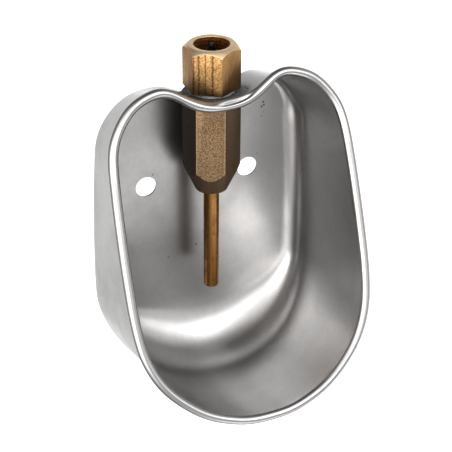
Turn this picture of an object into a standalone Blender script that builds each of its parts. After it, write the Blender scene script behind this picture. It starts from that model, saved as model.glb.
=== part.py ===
"""Livestock drinking bowl with a push-rod valve, built at real size in metres.

The bowl is one pressed sheet: a flat back plate against the wall, drawn side walls, a saddle in
the top wall for the valve, and a rim rolled outwards into a bead. The brass valve clamps the
saddle between a female inlet socket above the sheet and a hexagonal body below it. A push rod
hangs in the body, held on a rubber seat by a spring, and opens the valve when it is tilted or
lifted. The origin is on the back plate's outer face, midway between the two screw holes:
+Y points into the wall, +Z up and +X to the right as one stands in front of the bowl.
"""

import math

import bmesh
import bpy
import numpy as np
from mathutils import Matrix, Vector

MM = 0.001
CONTACT = 0.3 * MM          # gap that two touching pieces keep
CUTTER_MARGIN = 1.0 * MM    # how far a cutter runs past the face that it cuts

# Sheet and back plate
SHEET = 1.2 * MM
PLATE_HALF_WIDTH = 65.6 * MM
PLATE_TOP_DROP = 1.6 * MM   # from the seat's top down to the plate's top on both sides of the dip
PLATE_DIP = 4.5 * MM        # how far the plate's top edge falls behind the valve
PLATE_DIP_HALF_WIDTH = 27.0 * MM
SADDLE_TOP = 62.0 * MM      # upper face of the seat that is pressed flat for the valve
PLATE_BOTTOM = -121.5 * MM
PLATE_SHOULDER_RADIUS = 39.0 * MM
PLATE_NARROWING = 3.2 * MM  # how much narrower the plate is at its shoulders than at its belly
SIDE_BULGE = 0.25           # share of that narrowing at mid height
BACK_FILLET = 11.5 * MM
SADDLE_FILLET = 4.0 * MM
SADDLE_SEAT_MARGIN = 0.3 * MM  # flat seat beyond the corners of the hexagons
SADDLE_REACH = 4.5 * MM     # over which the flat seat blends into the top wall
FLOOR_FILLET = 28.0 * MM
FLOOR_FILLET_START = 0.05   # share of the plate's round bottom above which the fillet starts to widen
SCREW_HOLE_RADIUS = 6.0 * MM
SCREW_HOLE_SPACING = 61.6 * MM

# Rim, measured to the centre line of its bead
RIM_DIP_DROP = 1.0 * MM     # how far the rim lies below the seat's top at the dip
RIM_EAR_RISE = 10.1 * MM    # how far its ears stand above the seat's top
RIM_LIP_HEIGHT = -96.0 * MM
RIM_HALF_WIDTH = 67.4 * MM
RIM_SEAT_GAP = 2.8 * MM     # between the flat seat and the rim at the dip
RIM_LIP_DEPTH = 101.9 * MM  # the lip's distance from the wall
RIM_TOP_RETREAT = 1.5 * MM  # how far the rim's top bends back towards the wall
RIM_RETREAT_REACH = 32.0 * MM

# The rim's outline as shares of its height and half width: from the dip to the ear, then to the lip
RIM_DIP_SHAPE = [(0, 0), (0.081, 0.163), (0.414, 0.297), (1, 0.491)]
RIM_SIDE_SHAPE = [
    (0.983, 0.702), (0.939, 0.838), (0.864, 0.948), (0.741, 0.985), (0.528, 1), (0.370, 0.994),
    (0.252, 0.947), (0.150, 0.809), (0.058, 0.546), (0.011, 0.255), (0, 0),
]
BEAD_RADIUS = 2.7 * MM
BEAD_WRAP = math.radians(292)

# Bowl mesh
STATIONS = 76
CURVE_STEPS = 24
WALL_STEPS = 7
FILLET_STEPS = 6
BEAD_STEPS = 8

# Valve axis and the stack that clamps the saddle
VALVE_AXIS_Y = -21.0 * MM
HEX_FLATS = 27.0 * MM
SOCKET_TURN = math.radians(-32.8)
BODY_TURN = math.radians(-24.9)
WASHER_THICKNESS = 1.5 * MM
WASHER_INSET = 0.5 * MM     # how far the washer's edge lies inside the hexagon's flats
GASKET_THICKNESS = 1.4 * MM
GASKET_INSET = 0.9 * MM
SPIGOT_WALL = 1.9 * MM
SPIGOT_CLEARANCE = 0.35 * MM
SPIGOT_ENGAGEMENT = 9.0 * MM
SPIGOT_EDGE = 0.8 * MM

# Inlet socket
SOCKET_HEIGHT = 23.9 * MM
SOCKET_BORE_RADIUS = 9.32 * MM  # across the crests of a G 1/2 pipe thread
SOCKET_ENTRY = 1.28 * MM    # chamfer that leads into the thread
SOCKET_FACE_INSET = 0.6 * MM
HEX_CHAMFER_ANGLE = math.radians(30)

# Valve body
CONE_TOP = 18.4 * MM
NOSE_END = 2.8 * MM
NOSE_RADIUS = 9.2 * MM
NOSE_EDGE = 1.0 * MM
NOSE_EDGE_BULGE = 0.3       # where the nose's rounded edge bends, as a share of that edge
BODY_FACE_INSET = 0.2 * MM
CHAMBER_RADIUS = 8.0 * MM
RETAINER_SHOULDER = 49.0 * MM
RETAINER_LEDGE = 0.5 * MM
OUTLET_END_RADIUS = 6.9 * MM

# Rod and its seat; the rod tilts about the point where its head meets the seat
PIVOT_Z = 20.0 * MM
SEAT_GAP = 0.6 * MM
SEAL_THICKNESS = 2.0 * MM
ROD_RADIUS = 4.0 * MM
ROD_PLAY = 1.0 * MM         # room round the rod in the seal and in the outlet's top
ROD_END = -59.8 * MM
ROD_END_CHAMFER = 0.6 * MM
HEAD_OVERLAP = 0.2 * MM     # how far the head's flat reaches over the seal
HEAD_RADIUS = 6.6 * MM
HEAD_RELIEF_ANGLE = math.radians(7)
HEAD_DOME_RADIUS = 7.0 * MM
HEAD_CROWN_RADIUS = 3.0 * MM

# Spring train above the head
CUP_SKIRT_HEIGHT = 4.0 * MM
CUP_ROOF = 1.2 * MM
CUP_TILT_GAP = 0.6 * MM
SPRING_WASHER_THICKNESS = 1.0 * MM
SPRING_WASHER_PLAY = 0.5 * MM
SPRING_WASHER_HOLE = 3.0 * MM
SPRING_WIRE_RADIUS = 0.55 * MM
SPRING_RADIUS = 5.4 * MM
SPRING_TURNS = 6.5
SPRING_CLOSED_TURNS = 1     # at each end
SPRING_END_PITCH = 1.15     # rise of a closed turn, in wire diameters
SPRING_SIDES = 7
SPRING_STEPS_PER_TURN = 16
RETAINER_THICKNESS = 3.0 * MM
RETAINER_HOLE = 4.0 * MM
RETAINER_SLOT_WIDTH = 1.6 * MM
RETAINER_SLOT_DEPTH = 1.0 * MM

# Strainer cone that stands in the socket
STRAINER_CLEARANCE = 0.42 * MM
STRAINER_FLANGE = 1.2 * MM
STRAINER_BASE_RADIUS = 5.0 * MM
STRAINER_TIP_RADIUS = 1.1 * MM
STRAINER_WALL = 0.8 * MM
STRAINER_RISE = 0.5 * MM    # how far its tip stands above the socket's mouth

ROUND_SEGMENTS = 40
HOLE_SEGMENTS = 32
STRAINER_SEGMENTS = 28
ON_AXIS = 1e-6 * MM         # a turned point nearer to its axis than this lies on it

# Sizes, heights and places that follow from the ones above
HEX_CORNER_RADIUS = HEX_FLATS / 2 / math.cos(math.radians(30))
SADDLE_SEAT_RADIUS = HEX_CORNER_RADIUS + SADDLE_SEAT_MARGIN
PLATE_TOP = SADDLE_TOP - PLATE_TOP_DROP
RIM_DIP_HEIGHT = SADDLE_TOP - RIM_DIP_DROP
RIM_EAR_HEIGHT = SADDLE_TOP + RIM_EAR_RISE
RIM_TOP_DEPTH = SADDLE_SEAT_RADIUS + RIM_SEAT_GAP - VALVE_AXIS_Y
RIM_LEAN = (RIM_LIP_DEPTH - RIM_TOP_DEPTH - RIM_TOP_RETREAT) / (SADDLE_TOP - RIM_LIP_HEIGHT)
WASHER_RADIUS = HEX_FLATS / 2 - WASHER_INSET
GASKET_RADIUS = HEX_FLATS / 2 - GASKET_INSET
RETAINER_BORE_RADIUS = CHAMBER_RADIUS + RETAINER_LEDGE
SPIGOT_RADIUS = RETAINER_BORE_RADIUS + SPIGOT_WALL
SOCKET_MOUTH_RADIUS = SOCKET_BORE_RADIUS + SOCKET_ENTRY
SEAL_INNER_RADIUS = ROD_RADIUS + ROD_PLAY
SEAL_OUTER_RADIUS = CHAMBER_RADIUS - CONTACT
HEAD_CONTACT_RADIUS = SEAL_INNER_RADIUS + HEAD_OVERLAP
SPRING_WASHER_RADIUS = CHAMBER_RADIUS - SPRING_WASHER_PLAY
STRAINER_FLANGE_RADIUS = SOCKET_BORE_RADIUS - STRAINER_CLEARANCE
SADDLE_UNDERSIDE = SADDLE_TOP - SHEET
WASHER_BOTTOM = SADDLE_TOP + CONTACT
SOCKET_BOTTOM = WASHER_BOTTOM + WASHER_THICKNESS + CONTACT
SOCKET_TOP = SOCKET_BOTTOM + SOCKET_HEIGHT
GASKET_TOP = SADDLE_UNDERSIDE - CONTACT
BODY_TOP = GASKET_TOP - GASKET_THICKNESS - CONTACT
SPIGOT_TOP = SOCKET_BOTTOM + SPIGOT_ENGAGEMENT
SPIGOT_HOLE_RADIUS = SPIGOT_RADIUS + SPIGOT_CLEARANCE
SEAL_TOP = PIVOT_Z - SEAT_GAP
SEAL_BOTTOM = SEAL_TOP - SEAL_THICKNESS
CHAMBER_FLOOR = SEAL_BOTTOM - CONTACT
CUP_RECESS_RADIUS = HEAD_DOME_RADIUS + CONTACT
CUP_TOP = PIVOT_Z + CUP_RECESS_RADIUS + CUP_ROOF
SPRING_WASHER_BOTTOM = CUP_TOP + CUP_TILT_GAP
SPRING_BOTTOM = SPRING_WASHER_BOTTOM + SPRING_WASHER_THICKNESS + CONTACT
SPRING_TOP = RETAINER_SHOULDER
RETAINER_BOTTOM = RETAINER_SHOULDER + CONTACT
STRAINER_BOTTOM = SPIGOT_TOP + CONTACT


def clear_scene():
    """Remove every object that a new file starts with."""
    for obj in list(bpy.data.objects):
        bpy.data.objects.remove(obj, do_unlink=True)


def material(name, colour, roughness, metallic):
    """Return a Principled material with the piece's colour and finish."""
    mat = bpy.data.materials.new(name)
    mat.use_nodes = True
    shader = mat.node_tree.nodes["Principled BSDF"]
    shader.inputs["Base Color"].default_value = (*colour, 1.0)
    shader.inputs["Roughness"].default_value = roughness
    shader.inputs["Metallic"].default_value = metallic
    mat.diffuse_color = (*colour, 1.0)
    return mat


def place(name, mesh, mat, location=(0, 0, 0), parent=None):
    """Link a mesh as a named object with smooth sides and sharp edges."""
    obj = bpy.data.objects.new(name, mesh)
    bpy.context.scene.collection.objects.link(obj)
    obj.location = location
    if parent is not None:
        obj.parent = parent
        obj.matrix_parent_inverse = Matrix.Identity(4)
    if mat is not None:
        mesh.materials.append(mat)
    mesh.shade_smooth()
    mesh.set_sharp_from_angle(angle=math.radians(35))
    return obj


def mesh_from_bmesh(name, bm):
    """Turn a bmesh into a mesh with its faces pointing out."""
    bmesh.ops.recalc_face_normals(bm, faces=bm.faces)
    mesh = bpy.data.meshes.new(name)
    bm.to_mesh(mesh)
    bm.free()
    return mesh


def turned(name, profile, segments=ROUND_SEGMENTS):
    """Spin a closed outline of (radius, height) points about Z; radius 0 is a point on the axis."""
    bm = bmesh.new()
    rings = []
    for radius, height in profile:
        if radius < ON_AXIS:
            rings.append([bm.verts.new((0, 0, height))])
            continue
        ring = []
        for k in range(segments):
            angle = 2 * math.pi * k / segments
            ring.append(bm.verts.new((radius * math.cos(angle), radius * math.sin(angle), height)))
        rings.append(ring)
    for lower, upper in zip(rings, rings[1:] + rings[:1]):
        if len(lower) == 1 and len(upper) == 1:
            continue
        for k in range(segments):
            j = (k + 1) % segments
            corners = [lower[k % len(lower)], lower[j % len(lower)],
                       upper[j % len(upper)], upper[k % len(upper)]]
            unique = list(dict.fromkeys(corners))
            bm.faces.new(unique)
    return mesh_from_bmesh(name, bm)


def hex_prism(name, bottom, top, turn):
    """Hexagonal bar with one flat facing -Y before it is turned about Z."""
    bm = bmesh.new()
    ring = []
    for k in range(6):
        angle = math.radians(60 * k) + turn
        x = HEX_CORNER_RADIUS * math.cos(angle)
        y = HEX_CORNER_RADIUS * math.sin(angle)
        ring.append(bm.verts.new((x, y, bottom)))
    base = bm.faces.new(ring)
    swept = bmesh.ops.extrude_face_region(bm, geom=[base])
    moved = [item for item in swept["geom"] if isinstance(item, bmesh.types.BMVert)]
    bmesh.ops.translate(bm, verts=moved, vec=(0, 0, top - bottom))
    return mesh_from_bmesh(name, bm)


def cut(obj, cutter, operation="DIFFERENCE"):
    """Cut or trim an object with a hidden cutter."""
    cutter.hide_render = True
    cutter.display_type = "WIRE"
    modifier = obj.modifiers.new(cutter.name, "BOOLEAN")
    modifier.operation = operation
    modifier.solver = "EXACT"
    modifier.object = cutter


def smooth_step(value, start, end):
    """Rise smoothly from 0 at start to 1 at end."""
    share = min(max((value - start) / (end - start), 0.0), 1.0)
    return share * share * (3 - 2 * share)


def rounded_curve(points, count):
    """Read evenly spaced points off a smooth curve through the given (height, half width) points."""
    first = (points[1][0], -points[1][1])
    last = (points[-2][0], -points[-2][1])
    padded = [Vector(p) for p in [first, *points, last]]
    dense = []
    for k in range(1, len(padded) - 2):
        p0, p1, p2, p3 = padded[k - 1:k + 3]
        for step in range(CURVE_STEPS):
            t = step / CURVE_STEPS
            dense.append(0.5 * (2 * p1 + (p2 - p0) * t + (2 * p0 - 5 * p1 + 4 * p2 - p3) * t ** 2
                                + (3 * p1 - p0 - 3 * p2 + p3) * t ** 3))
    dense.append(padded[-2])
    lengths = [0.0]
    for a, b in zip(dense, dense[1:]):
        lengths.append(lengths[-1] + (b - a).length)
    wanted = np.linspace(0.0, lengths[-1], count)
    heights = np.interp(wanted, lengths, [p.x for p in dense])
    widths = np.interp(wanted, lengths, [p.y for p in dense])
    return [Vector((h, w)) for h, w in zip(heights, widths)]


def plate_outline():
    """Half outline of the sharp corner between plate and walls, as (height, half width) points."""
    radius = PLATE_SHOULDER_RADIUS
    shoulder_width = PLATE_HALF_WIDTH - PLATE_NARROWING
    centre = Vector((PLATE_TOP - radius, shoulder_width - radius))
    points = []
    for k in range(4):
        share = k / 4
        fall = PLATE_DIP * (1 + math.cos(math.pi * share)) / 2
        points.append((PLATE_TOP - fall, PLATE_DIP_HALF_WIDTH * share))
    for k in range(5):
        angle = math.radians(22.5 * k)
        points.append((centre.x + radius * math.cos(angle), centre.y + radius * math.sin(angle)))
    belly = PLATE_BOTTOM + PLATE_HALF_WIDTH
    points.append(((centre.x + belly) / 2, PLATE_HALF_WIDTH - PLATE_NARROWING * SIDE_BULGE))
    for k in range(7):
        angle = math.radians(15 * k)
        points.append((belly - PLATE_HALF_WIDTH * math.sin(angle), PLATE_HALF_WIDTH * math.cos(angle)))
    return points


def mirrored(half):
    """Complete a half outline, which starts and ends on the middle, to (x, z) points all round."""
    right = [Vector((p.y, p.x)) for p in half]
    left = [Vector((-p.y, p.x)) for p in half[-2:0:-1]]
    return right + left


def rim_outline():
    """Half outline of the bead's centre line, as (height, half width) points."""
    points = []
    for rise, width in RIM_DIP_SHAPE:
        height = RIM_DIP_HEIGHT + (RIM_EAR_HEIGHT - RIM_DIP_HEIGHT) * rise
        points.append((height, RIM_HALF_WIDTH * width))
    for rise, width in RIM_SIDE_SHAPE:
        height = RIM_LIP_HEIGHT + (RIM_EAR_HEIGHT - RIM_LIP_HEIGHT) * rise
        points.append((height, RIM_HALF_WIDTH * width))
    return points


def rim_depth(height):
    """Distance of the bead's centre from the wall at a given height."""
    lean = RIM_LIP_DEPTH - RIM_LEAN * (height - RIM_LIP_HEIGHT)
    return lean - RIM_TOP_RETREAT * smooth_step(height, SADDLE_TOP - RIM_RETREAT_REACH, SADDLE_TOP)


def fillet_radius(height):
    """Fillet between plate and wall: tight at the saddle, wider at the sides, wide at the floor."""
    side = SADDLE_FILLET + (BACK_FILLET - SADDLE_FILLET) * smooth_step(
        PLATE_TOP - height, 0.0, PLATE_SHOULDER_RADIUS)
    belly = PLATE_BOTTOM + PLATE_HALF_WIDTH
    share = smooth_step(belly - height, FLOOR_FILLET_START * PLATE_HALF_WIDTH, PLATE_HALF_WIDTH)
    return side + (FLOOR_FILLET - side) * share


def section(corner, bead, inward, fillet):
    """Middle line of the sheet in one section, from the plate to the end of the rolled bead.

    corner and bead are 3-D points, inward points along the plate. The result is a list of
    (point, outward normal) pairs in 3-D.
    """
    along = Vector((inward.x, 0.0, inward.y))
    depth = bead - corner
    depth = (depth - along * depth.dot(along)).normalized()
    target = Vector(((bead - corner).dot(along), (bead - corner).dot(depth)))
    curl = BEAD_RADIUS - SHEET / 2
    reach = target.length
    swing = math.asin(curl / reach)
    heading = math.atan2(target.y, target.x) - swing
    wall = Vector((math.cos(heading), math.sin(heading)))
    trim = fillet / math.tan(heading / 2)
    centre = Vector((trim, fillet))
    pairs = []
    for k in range(FILLET_STEPS + 1):
        angle = -math.pi / 2 - (math.pi - heading) * k / FILLET_STEPS
        spoke = Vector((math.cos(angle), math.sin(angle)))
        pairs.append((centre + spoke * fillet, spoke))
    start = wall * trim
    tangent = wall * math.sqrt(reach ** 2 - curl ** 2)
    out = Vector((-wall.y, wall.x))
    for k in range(1, WALL_STEPS + 1):
        share = (1 - math.cos(math.pi * k / WALL_STEPS)) / 2
        pairs.append((start.lerp(tangent, share), out))
    for k in range(1, BEAD_STEPS + 1):
        angle = BEAD_WRAP * k / BEAD_STEPS
        spoke = -out * math.cos(angle) + wall * math.sin(angle)
        pairs.append((target + spoke * curl, -spoke))
    result = []
    for point, normal in pairs:
        place_3d = corner + along * point.x + depth * point.y
        result.append((place_3d, along * normal.x + depth * normal.y))
    return result


def flatten_saddle(point, normal):
    """Pull the top wall level round the valve, where the press forms a flat seat."""
    middle = SADDLE_TOP - SHEET / 2
    if point.z < middle - SADDLE_REACH - PLATE_DIP:
        return point, normal
    radius = math.hypot(point.x, point.y - VALVE_AXIS_Y)
    share = 1 - smooth_step(radius, SADDLE_SEAT_RADIUS, SADDLE_SEAT_RADIUS + SADDLE_REACH)
    level = Vector((point.x, point.y, point.z + (middle - point.z) * share))
    return level, normal.lerp(Vector((0, 0, 1)), share).normalized()


def bowl_mesh():
    """The pressed bowl: sections round the rim, skinned on both sides and closed by the plate."""
    half = STATIONS // 2 + 1
    plate = mirrored(rounded_curve(plate_outline(), half))
    rim = mirrored(rounded_curve(rim_outline(), half))
    plate_y = -SHEET / 2
    bm = bmesh.new()
    insides = []
    outsides = []
    for k in range(STATIONS):
        before, after = plate[k - 1], plate[(k + 1) % STATIONS]
        edge = (after - before).normalized()
        inward = Vector((-edge.y, edge.x))
        middle = Vector((0.0, (PLATE_TOP + PLATE_BOTTOM) / 2))
        if inward.dot(middle - plate[k]) < 0:
            inward = -inward
        shrink = plate[k] + inward * SHEET / 2
        corner = Vector((shrink.x, plate_y, shrink.y))
        bead = Vector((rim[k].x, -rim_depth(rim[k].y), rim[k].y))
        line = section(corner, bead, inward, fillet_radius(plate[k].y))
        inside = []
        outside = []
        for index, (point, normal) in enumerate(line):
            if FILLET_STEPS < index < FILLET_STEPS + WALL_STEPS:
                point, normal = flatten_saddle(point, normal)
            outside.append(bm.verts.new(point + normal * SHEET / 2))
            inside.append(bm.verts.new(point - normal * SHEET / 2))
        insides.append(inside)
        outsides.append(outside)
    steps = len(insides[0])
    for k in range(STATIONS):
        j = (k + 1) % STATIONS
        for i in range(steps - 1):
            bm.faces.new((insides[k][i], insides[k][i + 1], insides[j][i + 1], insides[j][i]))
            bm.faces.new((outsides[k][i], outsides[j][i], outsides[j][i + 1], outsides[k][i + 1]))
        bm.faces.new((insides[k][-1], outsides[k][-1], outsides[j][-1], insides[j][-1]))
    bm.faces.new([line[0] for line in insides])
    bm.faces.new([line[0] for line in reversed(outsides)])
    return mesh_from_bmesh("bowl_shell", bm)


def build_bowl(steel):
    """The bowl with its two screw holes and the hole for the valve's spigot."""
    bowl = place("bowl_shell", bowl_mesh(), steel)
    for side, label in ((-1, "left"), (1, "right")):
        depth = 4 * SHEET
        profile = [(0, -depth), (SCREW_HOLE_RADIUS, -depth), (SCREW_HOLE_RADIUS, depth), (0, depth)]
        drill = place("cutter_screw_hole_" + label, turned("screw_hole", profile, HOLE_SEGMENTS),
                      None, (side * SCREW_HOLE_SPACING / 2, 0, 0))
        drill.rotation_euler = (math.radians(90), 0, 0)
        cut(bowl, drill)
    reach = 3 * SHEET
    profile = [(0, SADDLE_TOP - reach), (SPIGOT_HOLE_RADIUS, SADDLE_TOP - reach),
               (SPIGOT_HOLE_RADIUS, SADDLE_TOP + reach), (0, SADDLE_TOP + reach)]
    punch = place("cutter_spigot_hole", turned("spigot_hole", profile), None, (0, VALVE_AXIS_Y, 0))
    cut(bowl, punch)
    return bowl


def build_socket(brass, axis):
    """Hexagonal female socket, chamfered at its mouth, bored through."""
    mesh = hex_prism("inlet_socket", SOCKET_BOTTOM, SOCKET_TOP, SOCKET_TURN)
    socket = place("inlet_socket", mesh, brass, parent=axis)
    below = SOCKET_BOTTOM - CUTTER_MARGIN
    above = SOCKET_TOP + CUTTER_MARGIN
    wide = HEX_CORNER_RADIUS + CUTTER_MARGIN
    face = HEX_FLATS / 2 - SOCKET_FACE_INSET
    fall = (wide - face) * math.tan(HEX_CHAMFER_ANGLE)
    trim_profile = [(0, below), (wide, below), (wide, SOCKET_TOP - fall), (face, SOCKET_TOP),
                    (face, above), (0, above)]
    trim = place("cutter_socket_chamfer", turned("socket_chamfer", trim_profile), None, parent=axis)
    cut(socket, trim, "INTERSECT")
    relief = SPIGOT_TOP + STRAINER_FLANGE + 2 * CONTACT
    bore_profile = [(0, below), (SPIGOT_HOLE_RADIUS, below), (SPIGOT_HOLE_RADIUS, relief),
                    (SOCKET_BORE_RADIUS, relief), (SOCKET_BORE_RADIUS, SOCKET_TOP - SOCKET_ENTRY),
                    (SOCKET_MOUTH_RADIUS, SOCKET_TOP), (SOCKET_MOUTH_RADIUS, above), (0, above)]
    bore = place("cutter_socket_bore", turned("socket_bore", bore_profile), None, parent=axis)
    cut(socket, bore)
    return socket


def build_valve_body(brass, axis):
    """Hexagonal body with a turned conical nose below and a spigot above, bored for the rod."""
    mesh = hex_prism("valve_body", NOSE_END, BODY_TOP, BODY_TURN)
    body = place("valve_body", mesh, brass, parent=axis)
    wide = HEX_CORNER_RADIUS + CUTTER_MARGIN
    slope = (HEX_CORNER_RADIUS - NOSE_RADIUS) / (CONE_TOP - NOSE_END - NOSE_EDGE)
    cone_start = CONE_TOP + CUTTER_MARGIN / slope
    face = HEX_FLATS / 2 - BODY_FACE_INSET
    fall = (wide - face) * math.tan(HEX_CHAMFER_ANGLE)
    bend = NOSE_EDGE_BULGE * NOSE_EDGE
    trim_profile = [(0, NOSE_END), (NOSE_RADIUS - NOSE_EDGE, NOSE_END),
                    (NOSE_RADIUS - bend, NOSE_END + bend), (NOSE_RADIUS, NOSE_END + NOSE_EDGE),
                    (wide, cone_start), (wide, BODY_TOP - fall), (face, BODY_TOP), (0, BODY_TOP)]
    trim = place("cutter_body_turning", turned("body_turning", trim_profile), None, parent=axis)
    cut(body, trim, "INTERSECT")
    root = BODY_TOP - CUTTER_MARGIN
    spigot_profile = [(0, root), (SPIGOT_RADIUS, root), (SPIGOT_RADIUS, SPIGOT_TOP - SPIGOT_EDGE),
                      (SPIGOT_RADIUS - SPIGOT_EDGE, SPIGOT_TOP), (0, SPIGOT_TOP)]
    spigot = place("cutter_spigot", turned("spigot", spigot_profile), None, parent=axis)
    cut(body, spigot, "UNION")
    below = NOSE_END - CUTTER_MARGIN
    above = SPIGOT_TOP + CUTTER_MARGIN
    bore_profile = [(0, below), (OUTLET_END_RADIUS, below), (OUTLET_END_RADIUS, NOSE_END),
                    (SEAL_INNER_RADIUS, CHAMBER_FLOOR), (CHAMBER_RADIUS, CHAMBER_FLOOR),
                    (CHAMBER_RADIUS, RETAINER_SHOULDER), (RETAINER_BORE_RADIUS, RETAINER_SHOULDER),
                    (RETAINER_BORE_RADIUS, above), (0, above)]
    bore = place("cutter_body_bore", turned("body_bore", bore_profile), None, parent=axis)
    cut(body, bore)
    return body


def ring_profile(inner, outer, bottom, thickness):
    """Rectangular outline of a flat ring."""
    return [(inner, bottom), (outer, bottom), (outer, bottom + thickness), (inner, bottom + thickness)]


def build_clamped_rings(fibre, rubber, axis):
    """The washer above the sheet, the gasket below it and the seal that the rod closes on."""
    washer = ring_profile(SPIGOT_HOLE_RADIUS, WASHER_RADIUS, WASHER_BOTTOM, WASHER_THICKNESS)
    place("socket_washer", turned("socket_washer", washer), fibre, parent=axis)
    gasket = ring_profile(SPIGOT_HOLE_RADIUS, GASKET_RADIUS, GASKET_TOP - GASKET_THICKNESS,
                          GASKET_THICKNESS)
    place("body_gasket", turned("body_gasket", gasket), rubber, parent=axis)
    seal = ring_profile(SEAL_INNER_RADIUS, SEAL_OUTER_RADIUS, SEAL_BOTTOM, SEAL_THICKNESS)
    place("seat_seal", turned("seat_seal", seal), rubber, parent=axis)


def dome_points(radius, from_radius, to_radius, steps):
    """Points on a dome about the pivot, from one distance off the axis to another."""
    start = math.acos(from_radius / radius)
    end = math.acos(to_radius / radius)
    points = []
    for k in range(steps + 1):
        angle = start + (end - start) * k / steps
        points.append((radius * math.cos(angle), radius * math.sin(angle)))
    return points


def build_rod(brass, pivot):
    """Push rod with a domed head, relieved underneath so that it can rock on its seat."""
    end = ROD_END - PIVOT_Z
    relief = (HEAD_RADIUS - HEAD_CONTACT_RADIUS) * math.tan(HEAD_RELIEF_ANGLE)
    profile = [(0, end), (ROD_RADIUS - ROD_END_CHAMFER, end), (ROD_RADIUS, end + ROD_END_CHAMFER),
               (ROD_RADIUS, 0), (HEAD_CONTACT_RADIUS, 0), (HEAD_RADIUS, relief)]
    profile += dome_points(HEAD_DOME_RADIUS, HEAD_RADIUS, HEAD_CROWN_RADIUS, 5)
    profile.append((0, profile[-1][1]))
    return place("push_rod", turned("push_rod", profile), brass, parent=pivot)


def build_cup(brass, pivot):
    """Cup that rides on the rod's dome and carries the spring washer."""
    top = CUP_TOP - PIVOT_Z
    lip = math.sqrt(CUP_RECESS_RADIUS ** 2 - CUP_SKIRT_HEIGHT ** 2)
    profile = [(0, top), (HEAD_DOME_RADIUS, top), (HEAD_DOME_RADIUS, CUP_SKIRT_HEIGHT)]
    profile += dome_points(CUP_RECESS_RADIUS, lip, 0, 6)
    return place("spring_cup", turned("spring_cup", profile), brass, parent=pivot)


def build_spring_washer(steel, axis):
    """Flat thrust washer between the spring and the cup."""
    ring = ring_profile(SPRING_WASHER_HOLE, SPRING_WASHER_RADIUS, SPRING_WASHER_BOTTOM,
                        SPRING_WASHER_THICKNESS)
    return place("spring_washer", turned("spring_washer", ring), steel, parent=axis)


def build_spring(steel, axis):
    """Compression spring with a closed turn at each end, as one swept wire."""
    count = int(SPRING_TURNS * SPRING_STEPS_PER_TURN)
    low = SPRING_BOTTOM + SPRING_WIRE_RADIUS
    high = SPRING_TOP - SPRING_WIRE_RADIUS
    closed = SPRING_END_PITCH * 2 * SPRING_WIRE_RADIUS
    bm = bmesh.new()
    rings = []
    for k in range(count + 1):
        turn = k / SPRING_STEPS_PER_TURN
        last = max(turn - SPRING_TURNS + SPRING_CLOSED_TURNS, 0)
        rise = closed * (min(turn, SPRING_CLOSED_TURNS) + last)
        free_turns = SPRING_TURNS - 2 * SPRING_CLOSED_TURNS
        open_share = min(max((turn - SPRING_CLOSED_TURNS) / free_turns, 0), 1)
        free_height = high - low - 2 * SPRING_CLOSED_TURNS * closed
        height = low + rise + free_height * open_share
        angle = 2 * math.pi * turn
        radial = Vector((math.cos(angle), math.sin(angle), 0))
        centre = radial * SPRING_RADIUS + Vector((0, 0, height))
        ring = []
        for side in range(SPRING_SIDES):
            around = 2 * math.pi * side / SPRING_SIDES
            offset = radial * math.cos(around) + Vector((0, 0, math.sin(around)))
            ring.append(bm.verts.new(centre + offset * SPRING_WIRE_RADIUS))
        rings.append(ring)
    for lower, upper in zip(rings, rings[1:]):
        for side in range(SPRING_SIDES):
            after = (side + 1) % SPRING_SIDES
            bm.faces.new((lower[side], lower[after], upper[after], upper[side]))
    bm.faces.new(rings[0])
    bm.faces.new(rings[-1])
    return place("valve_spring", mesh_from_bmesh("valve_spring", bm), steel, parent=axis)


def build_retainer(brass, axis):
    """Screw ring that holds the spring down, slotted across its top."""
    outer = RETAINER_BORE_RADIUS - CONTACT
    ring = ring_profile(RETAINER_HOLE, outer, RETAINER_BOTTOM, RETAINER_THICKNESS)
    retainer = place("spring_retainer", turned("spring_retainer", ring), brass, parent=axis)
    bm = bmesh.new()
    bmesh.ops.create_cube(bm, size=1.0)
    length = 2 * (outer + CUTTER_MARGIN)
    bmesh.ops.scale(bm, vec=(length, RETAINER_SLOT_WIDTH, 2 * RETAINER_SLOT_DEPTH), verts=bm.verts)
    slot = place("cutter_retainer_slot", mesh_from_bmesh("retainer_slot", bm), None,
                 (0, 0, RETAINER_BOTTOM + RETAINER_THICKNESS), axis)
    cut(retainer, slot)
    return retainer


def build_strainer(plastic, axis):
    """Conical strainer on a flange that rests on the spigot's end, open below."""
    flange_top = STRAINER_BOTTOM + STRAINER_FLANGE
    tip = SOCKET_TOP + STRAINER_RISE
    profile = [(STRAINER_BASE_RADIUS - STRAINER_WALL, STRAINER_BOTTOM),
               (STRAINER_FLANGE_RADIUS, STRAINER_BOTTOM), (STRAINER_FLANGE_RADIUS, flange_top),
               (STRAINER_BASE_RADIUS, flange_top), (STRAINER_TIP_RADIUS, tip), (0, tip),
               (0, tip - STRAINER_WALL),
               (STRAINER_TIP_RADIUS - 0.5 * STRAINER_WALL, tip - STRAINER_WALL)]
    mesh = turned("inlet_strainer", profile, STRAINER_SEGMENTS)
    return place("inlet_strainer", mesh, plastic, parent=axis)


def guide(name, location, parent=None):
    """An empty that other pieces are placed on."""
    empty = bpy.data.objects.new(name, None)
    bpy.context.scene.collection.objects.link(empty)
    empty.location = location
    empty.parent = parent
    return empty


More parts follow.
